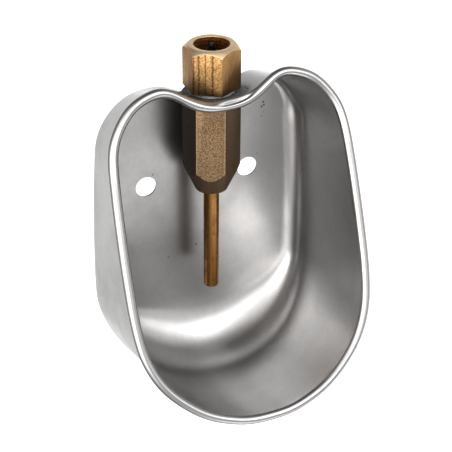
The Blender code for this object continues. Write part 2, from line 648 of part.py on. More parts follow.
def main():
    """Build every piece of the drinking bowl."""
    clear_scene()
    steel = material("pressed_stainless_steel", (0.55, 0.55, 0.56), 0.36, 1.0)
    wire = material("spring_steel", (0.62, 0.62, 0.63), 0.25, 1.0)
    brass = material("drawn_brass", (0.56, 0.40, 0.20), 0.38, 1.0)
    fibre = material("grey_fibre", (0.30, 0.30, 0.31), 0.8, 0.0)
    rubber = material("black_rubber", (0.03, 0.03, 0.03), 0.7, 0.0)
    plastic = material("dark_green_plastic", (0.01, 0.05, 0.04), 0.3, 0.0)

    build_bowl(steel)
    axis = guide("valve_axis", (0, VALVE_AXIS_Y, 0))
    pivot = guide("rod_pivot", (0, 0, PIVOT_Z), axis)
    build_socket(brass, axis)
    build_valve_body(brass, axis)
    build_clamped_rings(fibre, rubber, axis)
    build_rod(brass, pivot)
    build_cup(brass, pivot)
    build_spring_washer(wire, axis)
    build_spring(wire, axis)
    build_retainer(brass, axis)
    build_strainer(plastic, axis)


main()
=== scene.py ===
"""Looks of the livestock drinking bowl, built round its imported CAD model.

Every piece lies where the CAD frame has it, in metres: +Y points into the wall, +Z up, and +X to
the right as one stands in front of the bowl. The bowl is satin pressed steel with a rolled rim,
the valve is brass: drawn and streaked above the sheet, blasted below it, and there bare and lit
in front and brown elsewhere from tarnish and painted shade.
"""

import logging
import math
from dataclasses import dataclass
from enum import Enum

import bmesh
import bpy
from mathutils import Matrix, Vector, noise


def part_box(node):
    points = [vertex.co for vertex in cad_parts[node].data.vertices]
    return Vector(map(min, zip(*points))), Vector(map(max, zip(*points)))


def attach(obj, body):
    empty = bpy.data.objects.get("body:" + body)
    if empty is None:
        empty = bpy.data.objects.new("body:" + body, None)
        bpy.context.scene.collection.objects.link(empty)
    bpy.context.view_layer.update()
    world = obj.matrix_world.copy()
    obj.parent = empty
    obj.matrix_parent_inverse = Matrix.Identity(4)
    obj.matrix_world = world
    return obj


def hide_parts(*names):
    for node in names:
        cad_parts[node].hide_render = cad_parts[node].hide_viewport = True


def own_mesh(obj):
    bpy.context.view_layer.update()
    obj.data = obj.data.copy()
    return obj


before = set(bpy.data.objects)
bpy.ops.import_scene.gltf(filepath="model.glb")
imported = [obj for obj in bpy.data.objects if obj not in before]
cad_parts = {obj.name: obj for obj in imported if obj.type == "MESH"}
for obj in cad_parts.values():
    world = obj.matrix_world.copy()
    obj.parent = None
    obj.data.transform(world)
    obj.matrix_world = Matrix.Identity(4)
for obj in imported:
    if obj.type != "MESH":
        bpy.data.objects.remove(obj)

MM = 0.001
AXIS_Y = -21.0 * MM              # the valve's axis, in front of the wall
HEXAGON = 27.0 * MM              # across the flats of the socket and of the valve body
HEXAGON_CORNER = HEXAGON / 2 / math.cos(math.pi / 6)
SPIGOT_HOLE = 10.75 * MM         # radius
SPIGOT_TOP = 73.1 * MM
MARGIN = 1.0 * MM                # how far a cutting solid stands out of what it cuts
UP = (0.0, 0.0, 1.0)
TO_WALL = (0.0, 1.0, 0.0)
LOG = logging.getLogger("drinking_bowl")
Profile = list[tuple[float, float]]
Colour = tuple[float, float, float]
Place = tuple[float, float, float]
Mesh = bpy.types.Mesh
Socket = bpy.types.NodeSocket
Tree = bpy.types.NodeTree


class Body(Enum):
    """The rigid bodies that the new pieces ride on."""

    FIXED = "bowl_and_valve"
    ROD = "push_rod"


class Slot(Enum):
    """The record's material slots."""

    STEEL = "pressed_stainless"
    SPRING = "spring_steel"
    BRASS = "brass"
    FIBRE = "grey_fibre"
    RUBBER = "black_rubber"
    PLASTIC = "green_plastic"


class Cut(Enum):
    """How one solid changes another."""

    AWAY = "DIFFERENCE"
    TO_SHAPE = "INTERSECT"
    JOIN = "UNION"


class Graph:
    """Adds nodes to one tree and joins them."""

    def __init__(self, tree: Tree) -> None:
        """Keep the tree that the nodes go into."""
        self.tree = tree

    def feed(self, socket: Socket, value: object) -> None:
        """Link a socket to another one, or set its value.

        Args:
            socket: the input that is fed.
            value: an output socket, or a plain value.
        """
        if isinstance(value, Socket):
            self.tree.links.new(value, socket)
        else:
            socket.default_value = value

    def node(self, kind: str, settings: dict | None = None, **inputs: object) -> bpy.types.Node:
        """Add a node.

        Args:
            kind: Blender's name of the node's class.
            settings: the node's own properties.
            **inputs: input values or sockets, with _ for a space in their names.

        Returns:
            The new node.
        """
        made = self.tree.nodes.new(kind)
        for name, value in (settings or {}).items():
            setattr(made, name, value)
        for name, value in inputs.items():
            self.feed(made.inputs[name.replace("_", " ")], value)
        return made

    def maths(self, operation: str, a: object, b: object = 0.0, c: object = 0.0) -> Socket:
        """Combine numbers with one Math node.

        Args:
            operation: Blender's name of the operation.
            a: the first number or socket.
            b: the second one.
            c: the third one.

        Returns:
            The result.
        """
        made = self.node("ShaderNodeMath", {"operation": operation})
        for socket, value in zip(made.inputs, (a, b, c)):
            self.feed(socket, value)
        return made.outputs[0]

    def vectors(self, operation: str, a: object, b: object) -> Socket:
        """Combine two vectors with one Vector Math node.

        Args:
            operation: Blender's name of the operation.
            a: the first vector or socket.
            b: the second one.

        Returns:
            The result.
        """
        made = self.node("ShaderNodeVectorMath", {"operation": operation})
        for socket, value in zip(made.inputs, (a, b)):
            self.feed(socket, value)
        return made.outputs["Vector" if operation == "MULTIPLY" else "Value"]

    def texture(self, settings: dict | None = None, **inputs: object) -> Socket:
        """Add a noise texture and return its value."""
        return self.node("ShaderNodeTexNoise", settings, **inputs).outputs["Fac"]

    def blend(self, factor: object, a: object, b: object) -> Socket:
        """Mix two colours by a varying factor.

        Args:
            factor: how much of b there is.
            a: the first colour.
            b: the second colour.

        Returns:
            The mixed colour.
        """
        made = self.node("ShaderNodeMix", {"data_type": "RGBA"})
        for index, value in ((0, factor), (6, a), (7, b)):
            self.feed(made.inputs[index], value)
        return made.outputs[2]

    def ramp(self, value: object, low: object, high: object, start: float = 0.0,
             end: float = 1.0) -> Socket:
        """Turn a value between low and high smoothly into one between start and end."""
        return self.node("ShaderNodeMapRange", {"interpolation_type": "SMOOTHSTEP"}, Value=value,
                         From_Min=low, From_Max=high, To_Min=start, To_Max=end).outputs[0]

    def place(self, group: Tree, **inputs: object) -> Socket:
        """Place a node group with its own input values and return its output."""
        return self.node("ShaderNodeGroup", {"node_tree": group}, **inputs).outputs[0]


class NodeGroup(Graph):
    """A node group of this script's own, with named inputs and one output."""

    def __init__(self, name: str, kind: str, inputs: dict[str, str | float], output: str,
                 gives: str) -> None:
        """Start the group.

        Args:
            name: the group's name.
            kind: Blender's name of its kind of tree.
            inputs: each input's name, with the default of a number or the kind of its socket.
            output: the output's name.
            gives: the kind of the output's socket.
        """
        super().__init__(bpy.data.node_groups.new(name, kind))
        for label, value in inputs.items():
            number = isinstance(value, float)
            socket = self.tree.interface.new_socket(
                label, in_out="INPUT", socket_type="NodeSocket" + ("Float" if number else value))
            if number:
                socket.default_value = value
        self.tree.interface.new_socket(output, in_out="OUTPUT", socket_type="NodeSocket" + gives)
        self.given = self.node("NodeGroupInput").outputs

    def close(self, value: object) -> Tree:
        """Lead a value to the output and return the finished group."""
        self.feed(self.node("NodeGroupOutput").inputs[0], value)
        return self.tree


class EffectGroup(NodeGroup):
    """A shader node group that puts out one varying value."""

    def __init__(self, name: str, inputs: dict[str, str | float], output: str = "Mask") -> None:
        """Start the group with its inputs and the name of its output."""
        super().__init__(name, "ShaderNodeTree", inputs, output, "Float")


class ShapeTree(NodeGroup):
    """A Geometry Nodes tree that ends in Realize Instances and Set Material."""

    def __init__(self, name: str, inputs: dict[str, str | float]) -> None:
        """Start the tree with its inputs, to which the material is added."""
        super().__init__(name, "GeometryNodeTree", {**inputs, "Material": "Material"}, "Geometry",
                         "Geometry")

    def close(self, value: object) -> Tree:
        """Make the shape real, give it the material and return the finished tree."""
        real = self.node("GeometryNodeRealizeInstances", Geometry=value)
        return super().close(self.node("GeometryNodeSetMaterial", Geometry=real.outputs[0],
                                       Material=self.given["Material"]).outputs[0])


class Effects:
    """Surface effects that several finishes share, each a shader node group built once."""

    def __init__(self) -> None:
        """Build every group."""
        self.streaks = self.build_streaks()
        self.grain = self.build_grain()
        self.blotches = self.build_blotches()
        self.specks = self.build_specks()
        self.facing = self.build_facing()
        self.gouge = self.build_gouge()
        self.patch = self.build_patch()

    @staticmethod
    def build_streaks() -> Tree:
        """Long fine lines along Z, as drawing through a die leaves them.

        Returns:
            The node group.
        """
        graph = EffectGroup("drawn_streaks", {"Vector": "Vector", "Across": 900.0, "Along": 30.0},
                            "Streak")
        given = graph.given
        stretch = graph.node("ShaderNodeCombineXYZ", X=given["Across"], Y=given["Across"],
                             Z=given["Along"])
        point = graph.vectors("MULTIPLY", given["Vector"], stretch.outputs[0])
        return graph.close(graph.texture(Vector=point, Scale=1.0, Detail=4.0, Roughness=0.6))

    @staticmethod
    def build_grain() -> Tree:
        """Fine grain of a blasted or pressed surface."""
        graph = EffectGroup("surface_grain", {"Vector": "Vector", "Scale": 2500.0}, "Grain")
        return graph.close(graph.texture(Vector=graph.given["Vector"], Scale=graph.given["Scale"],
                                         Detail=3.0, Roughness=0.7))

    @staticmethod
    def build_blotches() -> Tree:
        """Soft irregular areas, for tarnish and handling marks.

        Returns:
            The node group.
        """
        graph = EffectGroup("soft_blotches", {"Vector": "Vector", "Scale": 60.0, "Low": 0.4, "High": 0.6})
        given = graph.given
        cloud = graph.texture(Vector=given["Vector"], Scale=given["Scale"], Detail=5.0, Roughness=0.55,
                              Distortion=0.4)
        return graph.close(graph.ramp(cloud, given["Low"], given["High"]))

    @staticmethod
    def build_specks() -> Tree:
        """Sparse round specks: pits, dust and drops.

        Returns:
            The node group.
        """
        graph = EffectGroup("sparse_specks",
                            {"Vector": "Vector", "Scale": 150.0, "Size": 0.12, "Share": 0.2})
        given = graph.given
        cells = graph.node("ShaderNodeTexVoronoi", Vector=given["Vector"], Scale=given["Scale"])
        parts = graph.node("ShaderNodeSeparateColor", Color=cells.outputs["Color"]).outputs
        size = graph.maths("MULTIPLY", given["Size"], parts["Green"])
        near = graph.maths("LESS_THAN", cells.outputs["Distance"], size)
        chosen = graph.maths("LESS_THAN", parts["Red"], given["Share"])
        return graph.close(graph.maths("MULTIPLY", near, chosen))

    @staticmethod
    def build_facing() -> Tree:
        """Faces of a part that look one way.

        Returns:
            The node group.
        """
        graph = EffectGroup("faces_towards",
                            {"Normal": "Vector", "Way": "Vector", "Low": 0.93, "High": 0.99})
        given = graph.given
        turned = graph.vectors("DOT_PRODUCT", given["Normal"], given["Way"])
        return graph.close(graph.ramp(turned, given["Low"], given["High"]))

    @staticmethod
    def build_gouge() -> Tree:
        """One upright wavering line at a given distance across a face.

        Returns:
            The node group.
        """
        graph = EffectGroup("upright_gouge", {"Vector": "Vector", "Across": "Vector", "Offset": 0.0,
                                              "Width": 0.0004, "Waver": 0.0004})
        given = graph.given
        aside = graph.vectors("DOT_PRODUCT", given["Vector"], given["Across"])
        height = graph.node("ShaderNodeSeparateXYZ", Vector=given["Vector"]).outputs["Z"]
        spot = graph.maths("MULTIPLY_ADD", given["Offset"], 7000.0,
                           graph.maths("MULTIPLY", height, 420.0))
        upright = {"noise_dimensions": "1D"}
        bend = graph.texture(upright, W=spot, Scale=1.0, Detail=3.0)
        shift = graph.maths("MULTIPLY", graph.maths("SUBTRACT", bend, 0.5), given["Waver"])
        gap = graph.maths("ABSOLUTE", graph.maths(
            "ADD", graph.maths("SUBTRACT", aside, given["Offset"]), shift))
        swell = graph.texture(upright, W=spot, Scale=2.3, Detail=1.0)
        width = graph.maths("MULTIPLY", given["Width"], graph.ramp(swell, 0.3, 0.65, 0.35, 1.2))
        return graph.close(graph.ramp(gap, 0.0, width, 1.0, 0.0))

    @staticmethod
    def build_patch() -> Tree:
        """Soft round area about a place.

        Returns:
            The node group.
        """
        graph = EffectGroup("round_patch", {"Vector": "Vector", "Centre": "Vector", "Reach": 0.01})
        apart = graph.vectors("DISTANCE", graph.given["Vector"], graph.given["Centre"])
        return graph.close(graph.ramp(apart, 0.0, graph.given["Reach"], 1.0, 0.0))


def compass(degrees: float) -> Place:
    """Return the level direction at an angle from +X."""
    return (math.cos(math.radians(degrees)), math.sin(math.radians(degrees)), 0.0)


class Surface(Graph):
    """One node material while it is being made, with the shared effects at hand."""

    def __init__(self, name: str, display: Colour, effects: Effects) -> None:
        """Start the material.

        Args:
            name: the material's name.
            display: the colour that the viewport shows.
            effects: the shared effects.
        """
        self.made = bpy.data.materials.new(name)
        self.made.use_nodes = True
        self.made.diffuse_color = (*display, 1.0)
        super().__init__(self.made.node_tree)
        self.effects = effects
        where = self.node("ShaderNodeTexCoord").outputs
        self.point, self.normal = where["Object"], where["Normal"]

    def streaks(self, across: float, along: float) -> Socket:
        """Upright streaks of a die."""
        return self.place(self.effects.streaks, Vector=self.point, Across=across, Along=along)

    def grain(self, scale: float) -> Socket:
        """Fine even grain."""
        return self.place(self.effects.grain, Vector=self.point, Scale=scale)

    def blotches(self, scale: float, low: float, high: float) -> Socket:
        """Soft irregular areas."""
        return self.place(self.effects.blotches, Vector=self.point, Scale=scale, Low=low, High=high)

    def specks(self, scale: float, size: float, share: float) -> Socket:
        """Sparse round specks."""
        return self.place(self.effects.specks, Vector=self.point, Scale=scale, Size=size, Share=share)

    def facing(self, way: Place, low: float = 0.93, high: float = 0.99) -> Socket:
        """Faces that look one way."""
        return self.place(self.effects.facing, Normal=self.normal, Way=way, Low=low, High=high)

    def patch(self, centre: Place, reach: float) -> Socket:
        """Soft round area about a place."""
        return self.place(self.effects.patch, Vector=self.point, Centre=centre, Reach=reach)

    def gouges(self, face: float, lines: tuple[tuple[float, float], ...], waver: float) -> Socket:
        """Upright lines on one face of a hexagon.

        Args:
            face: the face's angle from +X, in degrees.
            lines: each line's distance from the face's middle and its width, in mm.
            waver: how far the lines wander.

        Returns:
            The mask of all the lines.
        """
        across = compass(face + 90.0)
        mask = 0.0
        for offset, width in lines:
            line = self.place(self.effects.gouge, Vector=self.point, Across=across,
                              Offset=offset * MM + AXIS_Y * across[1], Width=width * MM, Waver=waver)
            mask = self.maths("MAXIMUM", line, mask)
        return mask

    def tint(self, base: object, mask: object, colour: Colour, share: object = None) -> Socket:
        """Lay a colour over another one.

        Args:
            base: the colour below, plain or from another node.
            mask: where the new colour shows.
            colour: the new colour.
            share: how much of it shows there, if not all.

        Returns:
            The colours together.
        """
        if share is not None:
            mask = self.maths("MULTIPLY", mask, share)
        below = base if isinstance(base, Socket) else (*base, 1.0)
        return self.blend(mask, below, (*colour, 1.0))

    def finish(self, base: Socket, rough: Socket, relief: Socket, depth: float,
               metallic: float = 1.0) -> bpy.types.Material:
        """Join everything to the shader.

        Args:
            base: the base colour.
            rough: the roughness.
            relief: the height of the bump.
            depth: how deep the bump is.
            metallic: 1 for metal.

        Returns:
            The finished material.
        """
        shader = self.tree.nodes["Principled BSDF"]
        self.feed(shader.inputs["Base Color"], base)
        self.feed(shader.inputs["Metallic"], metallic)
        self.feed(shader.inputs["Roughness"], rough)
        bump = self.node("ShaderNodeBump", Strength=1.0, Distance=depth, Height=relief)
        self.feed(shader.inputs["Normal"], bump.outputs[0])
        return self.made


@dataclass(frozen=True)
class SatinSteel:
    """Pressed stainless sheet: satin, faintly mottled, with a few pits, and painted shade in the dip round
    the socket's seat.
    """

    name: str = "satin_steel"
    colour: Colour = (0.566, 0.560, 0.556)
    shade: Colour = (0.465, 0.460, 0.457)
    pit: Colour = (0.06, 0.055, 0.05)
    close_pit: Colour = (0.05, 0.05, 0.048)
    # painted shade for the dip round the socket's seat
    painted_seat_shade: Colour = (0.14, 0.16, 0.20)
    roughness: float = 0.285
    waviness: float = 0.02 * MM
    seat: Place = (0.0, AXIS_Y, 62.0 * MM)
    seat_reach: float = 30.0 * MM
    slope: Place = (0.0, -44.0 * MM, 60.0 * MM)
    slope_reach: float = 45.0 * MM
    slope_way: Place = (0.0, 0.8, 0.6)
    pitted: tuple[tuple[float, float, float, float], ...] = (   # place and reach, in mm
        (40.0, 0.0, 36.0, 6.5), (40.5, 0.0, 31.5, 4.0), (-2.5, 0.0, -44.0, 5.0), (-18.0, 0.0, -48.0, 3.0),
        (18.0, -24.0, 62.0, 5.0), (41.5, 0.0, 20.0, 1.6),
    )

    def material(self, effects: Effects) -> bpy.types.Material:
        """Return the finish as a node material.

        Args:
            effects: the shared effects.

        Returns:
            The material.
        """
        made = Surface(self.name, self.colour, effects)
        cloud = made.blotches(scale=38.0, low=0.35, high=0.7)
        fine = made.grain(scale=420.0)
        base = made.tint(self.colour, cloud, self.shade, 0.35)
        base = made.tint(base, made.ramp(fine, 0.35, 0.65, 0.0, 0.22), self.shade)
        base = made.tint(base, made.specks(scale=110.0, size=0.055, share=0.10), self.pit, 0.75)
        area = 0.0
        for x, y, z, reach in self.pitted:
            area = made.maths("MAXIMUM", made.patch((x * MM, y * MM, z * MM), reach * MM), area)
        # painted shade: round the socket's seat, and on faces near it that look up towards the wall, the
        # sheet is darkened
        slope = made.maths("MULTIPLY", made.ramp(made.patch(self.slope, self.slope_reach), 0.2, 0.5),
                           made.facing(self.slope_way, low=0.66, high=0.88))
        seat = made.maths("MAXIMUM", made.ramp(made.patch(self.seat, self.seat_reach), 0.1, 0.5), slope)
        base = made.tint(base, seat, self.painted_seat_shade, made.ramp(fine, 0.3, 0.6, 0.9, 0.45))
        worst = made.maths("MULTIPLY", made.specks(scale=750.0, size=0.5, share=0.5),
                           made.ramp(area, 0.25, 0.6))
        base = made.tint(base, worst, self.close_pit, 0.85)
        rough = made.ramp(fine, 0.25, 0.75, self.roughness - 0.01, self.roughness + 0.01)
        rough = made.maths("MULTIPLY_ADD", seat, 0.5, rough)
        rough = made.maths("MULTIPLY_ADD", cloud, 0.05, rough)
        wave = made.texture(Vector=made.point, Scale=30.0, Detail=0.0)
        return made.finish(base, rough, wave, self.waviness)


PAINTED_BACK_SHADE: Colour = (0.115, 0.108, 0.100)   # painted shade on brass that faces the wall


@dataclass(frozen=True)
class DrawnBrass:
    """Drawn brass bar: golden, with vertical die streaks, brown tarnish and, by a given share, painted
    shade on the side that faces the wall.
    """

    name: str
    colour: Colour = (0.62, 0.40, 0.155)
    dark: Colour = (0.20, 0.105, 0.035)
    pale: Colour = (0.80, 0.62, 0.34)
    roughness: float = 0.34
    streaks: float = 0.55
    depth: float = 0.03 * MM
    # share of painted shade on the side that faces the wall
    shaded: float = 0.0

    def material(self, effects: Effects) -> bpy.types.Material:
        """Return the finish as a node material.

        Args:
            effects: the shared effects.

        Returns:
            The material.
        """
        made = Surface(self.name, self.colour, effects)
        lines = made.streaks(across=1100.0, along=26.0)
        bands = made.streaks(across=260.0, along=14.0)
        cloud = made.blotches(scale=130.0, low=0.42, high=0.7)
        base = made.tint(self.colour, made.ramp(bands, 0.50, 0.75), self.pale, 0.5)
        base = made.tint(base, made.ramp(lines, 0.42, 0.66), self.dark, self.streaks)
        base = made.tint(base, cloud, self.dark, 0.35)
        # painted shade on the side that faces the wall
        base = made.tint(base, made.facing(TO_WALL, low=0.0, high=0.6), PAINTED_BACK_SHADE, self.shaded)
        rough = made.ramp(lines, 0.3, 0.7, self.roughness - 0.06, self.roughness + 0.10)
        rough = made.maths("MULTIPLY_ADD", cloud, 0.1, rough)
        relief = made.maths("MULTIPLY_ADD", made.grain(scale=3000.0), 0.35, lines)
        return made.finish(base, rough, relief, self.depth)


@dataclass(frozen=True)
class ForgedBrass:
    """Forged brass hexagon: orange-brown and sandy, with upright gouges on one face, painted highlight on
    the faces that look up and painted shadow towards its foot.
    """

    name: str
    colour: Colour = (0.52, 0.345, 0.170)
    dark: Colour = (0.29, 0.178, 0.077)
    pale: Colour = (0.62, 0.465, 0.275)
    # painted highlights on the chamfer and on the flat top round the mouth
    chamfer: Colour = (0.92, 0.76, 0.54)
    mouth: Colour = (0.95, 0.78, 0.58)
    gouge: Colour = (0.12, 0.052, 0.018)
    roughness: float = 0.42
    depth: float = 0.04 * MM
    worn_face: float = 237.2         # degrees from +X
    worn_gouges: tuple[tuple[float, float], ...] = ((-7.3, 1.1), (-4.4, 0.9), (-1.0, 0.5), (2.85, 1.1))
    waver: float = 0.9 * MM
    # painted shadow: the socket darkens over this reach above its foot on the washer
    foot: float = 64.6 * MM
    foot_shadow_reach: float = 4.0 * MM

    def material(self, effects: Effects) -> bpy.types.Material:
        """Return the finish as a node material.

        Args:
            effects: the shared effects.

        Returns:
            The material.
        """
        made = Surface(self.name, self.colour, effects)
        worn = made.facing(compass(self.worn_face))
        lines = made.maths("MULTIPLY", made.gouges(self.worn_face, self.worn_gouges, self.waver), worn)
        sand = made.grain(scale=1250.0)
        some = made.maths("MULTIPLY_ADD", worn, 0.55, 0.25)
        base = made.tint(self.colour, made.ramp(sand, 0.52, 0.38), self.dark, some)
        base = made.tint(base, made.ramp(sand, 0.52, 0.66), self.pale, some)
        drawn = made.streaks(across=520.0, along=60.0)
        base = made.tint(base, made.ramp(drawn, 0.5, 0.7), self.dark, 0.35)
        base = made.tint(base, made.blotches(scale=150.0, low=0.42, high=0.68), self.dark, 0.35)
        # painted shadow: darker towards the foot, where the socket sits on the washer
        height = made.node("ShaderNodeSeparateXYZ", Vector=made.point).outputs["Z"]
        low = made.ramp(height, self.foot, self.foot + self.foot_shadow_reach, 0.45, 0.0)
        base = made.tint(base, low, self.dark)
        # painted highlight: faces that look up are paler, the chamfer and, more so, the flat top
        base = made.tint(base, made.facing(UP, low=0.2, high=0.5), self.chamfer, 0.75)
        base = made.tint(base, made.facing(UP, low=0.9, high=0.98), self.mouth, 0.8)
        base = made.tint(base, lines, self.gouge, 0.75)
        rough = made.ramp(sand, 0.3, 0.7, self.roughness + 0.10, self.roughness - 0.06)
        fine = made.maths("MULTIPLY", made.grain(scale=3200.0), 0.3)
        relief = made.maths("MULTIPLY_ADD", sand, some, fine)
        relief = made.maths("SUBTRACT", relief, made.maths("MULTIPLY", lines, 2.0))
        return made.finish(base, rough, relief, self.depth)


@dataclass(frozen=True)
class BlastedBrass:
    """Sand-blasted brass with an even grain: bare and lit in front, with painted highlights along that
    face's edges; brown elsewhere, from tarnish and painted shade.
    """

    name: str
    colour: Colour = (0.40, 0.295, 0.185)
    dark: Colour = (0.175, 0.110, 0.062)
    pale: Colour = (0.60, 0.48, 0.345)
    pit: Colour = (0.05, 0.03, 0.02)
    # tarnish and painted shade of the faces other than the front one; shade is painted shade on the left
    # face
    tarnish: Colour = (0.25, 0.185, 0.130)
    rough_tarnish_and_shade: Colour = (0.40, 0.28, 0.185)
    shade: Colour = (0.140, 0.110, 0.080)
    roughness: float = 0.48
    depth: float = 0.07 * MM
    # the face that stays bare and lit; the others get tarnish and painted shade
    bare_lit_face: float = 245.1         # degrees from +X
    # painted highlights along both edges of the front face: distance from its middle and width, in mm
    edges: tuple[tuple[float, float], ...] = ((-7.5, 0.7), (7.5, 0.7))
    waver: float = 0.2 * MM

    def material(self, effects: Effects) -> bpy.types.Material:
        """Return the finish as a node material.

        Args:
            effects: the shared effects.

        Returns:
            The material.
        """
        made = Surface(self.name, self.colour, effects)
        coarse = made.grain(scale=1500.0)
        fine = made.grain(scale=3600.0)
        base = made.tint(self.dark, made.ramp(coarse, 0.35, 0.62), self.colour)
        base = made.tint(base, made.ramp(fine, 0.55, 0.72), self.pale)
        base = made.tint(base, made.blotches(scale=90.0, low=0.4, high=0.7), self.dark, 0.25)
        base = made.tint(base, made.specks(scale=320.0, size=0.16, share=0.3), self.pit, 0.5)
        # painted highlight: pale lines along the front face's edges
        base = made.tint(base, made.gouges(self.bare_lit_face, self.edges, self.waver), self.pale, 0.55)
        # tarnish and painted shade on the faces other than the front, darker still on the left face and
        # towards the wall
        brown = made.tint(self.tarnish, made.ramp(fine, 0.45, 0.7), self.rough_tarnish_and_shade)
        left = made.facing(compass(self.bare_lit_face - 60.0), low=0.85, high=0.97)
        brown = made.tint(brown, left, self.shade)
        brown = made.tint(brown, made.facing(TO_WALL, low=0.1, high=0.6), PAINTED_BACK_SHADE)
        base = made.blend(made.facing(compass(self.bare_lit_face)), brown, base)
        rough = made.ramp(coarse, 0.3, 0.7, self.roughness + 0.08, self.roughness - 0.08)
        relief = made.maths("MULTIPLY_ADD", fine, 0.6, coarse)
        return made.finish(base, rough, relief, self.depth)


@dataclass(frozen=True)
class SpringSteel:
    """Drawn and ground spring steel."""

    name: str = "spring_wire_steel"
    colour: Colour = (0.62, 0.62, 0.63)
    dark: Colour = (0.36, 0.35, 0.34)
    roughness: float = 0.26
    depth: float = 0.006 * MM

    def material(self, effects: Effects) -> bpy.types.Material:
        """Return the finish as a node material.

        Args:
            effects: the shared effects.

        Returns:
            The material.
        """
        made = Surface(self.name, self.colour, effects)
        fine = made.grain(scale=3500.0)
        base = made.tint(self.colour, made.blotches(scale=240.0, low=0.45, high=0.7), self.dark, 0.6)
        rough = made.ramp(fine, 0.3, 0.7, self.roughness - 0.05, self.roughness + 0.08)
        return made.finish(base, rough, fine, self.depth)


@dataclass(frozen=True)
class Moulded:
    """A part that isn't metal: rubber, fibre or plastic."""

    name: str
    colour: Colour
    pale: Colour
    roughness: float
    grain_scale: float
    depth: float

    def material(self, effects: Effects) -> bpy.types.Material:
        """Return the finish as a node material.

        Args:
            effects: the shared effects.

        Returns:
            The material.
        """
        made = Surface(self.name, self.colour, effects)
        fine = made.grain(scale=self.grain_scale)
        base = made.tint(self.colour, made.ramp(fine, 0.4, 0.75), self.pale)
        base = made.tint(base, made.blotches(scale=160.0, low=0.45, high=0.75), self.pale, 0.25)
        rough = made.ramp(fine, 0.3, 0.7, self.roughness - 0.06, self.roughness + 0.08)
        return made.finish(base, rough, fine, self.depth, metallic=0.0)


class Finishes:
    """Every material of the bowl and its valve."""

    def __init__(self) -> None:
        """Build the shared effects, then the materials that use them."""
        effects = Effects()
        self.steel = SatinSteel().material(effects)
        self.socket = ForgedBrass("forged_brass_socket").material(effects)
        self.rod = DrawnBrass("drawn_brass_rod", colour=(0.52, 0.295, 0.110), pale=(0.66, 0.47, 0.24),
                              roughness=0.30, streaks=0.35, shaded=0.85).material(effects)
        self.thread = DrawnBrass("cut_brass_thread", colour=(0.80, 0.50, 0.27), roughness=0.24,
                                 streaks=0.2, depth=0.01 * MM).material(effects)
        self.body = BlastedBrass("blasted_brass").material(effects)
        self.inner_brass = DrawnBrass("turned_brass", streaks=0.25, roughness=0.28).material(effects)
        self.spring = SpringSteel().material(effects)
        self.fibre = Moulded("washer_fibre", colour=(0.34, 0.33, 0.31), pale=(0.60, 0.58, 0.54),
                             roughness=0.75, grain_scale=1800.0, depth=0.05 * MM).material(effects)
        self.rubber = Moulded("gasket_rubber", colour=(0.018, 0.018, 0.018), pale=(0.06, 0.06, 0.058),
                              roughness=0.62, grain_scale=2600.0, depth=0.02 * MM).material(effects)
        self.plastic = Moulded("strainer_plastic", colour=(0.002, 0.008, 0.007),
                               pale=(0.004, 0.018, 0.015), roughness=0.12, grain_scale=1500.0,
                               depth=0.006 * MM).material(effects)


def link_mesh(name: str, mesh: Mesh) -> bpy.types.Object:
    """Link a mesh to the scene as an object."""
    made = bpy.data.objects.new(name, mesh)
    bpy.context.scene.collection.objects.link(made)
    return made


def mesh_from(name: str, bm: bmesh.types.BMesh, weld: float = 0.0) -> Mesh:
    """Turn a bmesh into a mesh with its faces pointing out.

    Args:
        name: the mesh's name.
        bm: the bmesh, which is freed.
        weld: distance under which points are merged, or 0.

    Returns:
        The new mesh.
    """
    if weld > 0:
        bmesh.ops.remove_doubles(bm, verts=bm.verts, dist=weld)
    bmesh.ops.recalc_face_normals(bm, faces=bm.faces)
    mesh = bpy.data.meshes.new(name)
    bm.to_mesh(mesh)
    bm.free()
    return mesh


def lathe(name: str, profile: Profile, segments: int, axis_y: float = AXIS_Y) -> Mesh:
    """Spin a closed outline of (radius, height) points about an upright axis.

    Args:
        name: the mesh's name.
        profile: the outline; a radius of 0 is a point on the axis.
        segments: faces round the axis.
        axis_y: the axis's distance from the wall, along Y.

    Returns:
        The closed mesh.
    """
    bm = bmesh.new()
    rings = []
    for radius, height in profile:
        count = segments if radius > 1e-9 else 1
        ring = []
        for k in range(count):
            angle = 2 * math.pi * k / segments
            ring.append(bm.verts.new((radius * math.cos(angle), axis_y + radius * math.sin(angle), height)))
        rings.append(ring)
    for lower, upper in zip(rings, rings[1:] + rings[:1]):
        if len(lower) == 1 and len(upper) == 1:
            continue
        for k in range(segments):
            j = (k + 1) % segments
            quad = [lower[k % len(lower)], lower[j % len(lower)],
                    upper[j % len(upper)], upper[k % len(upper)]]
            bm.faces.new(list(dict.fromkeys(quad)))
    return mesh_from(name, bm)


def rounded(profile: Profile, radius: float) -> Profile:
    """Round every corner of a closed outline.

    Args:
        profile: the outline's (radius, height) points.
        radius: the rounding radius, cut back where an edge is too short for it.

    Returns:
        The rounded outline. Points on the axis stay as they are.
    """
    result: Profile = []
    count = len(profile)
    steps = 5
    for k, corner in enumerate(profile):
        here = Vector(corner)
        before = Vector(profile[k - 1]) - here
        after = Vector(profile[(k + 1) % count]) - here
        if corner[0] < 1e-9:
            result.append(corner)
            continue
        reach = min(radius, 0.45 * before.length, 0.45 * after.length)
        start = here + before.normalized() * reach
        end = here + after.normalized() * reach
        for step in range(steps + 1):
            t = step / steps
            point = start * (1 - t) ** 2 + here * 2 * t * (1 - t) + end * t ** 2
            result.append((point.x, point.y))
    return result


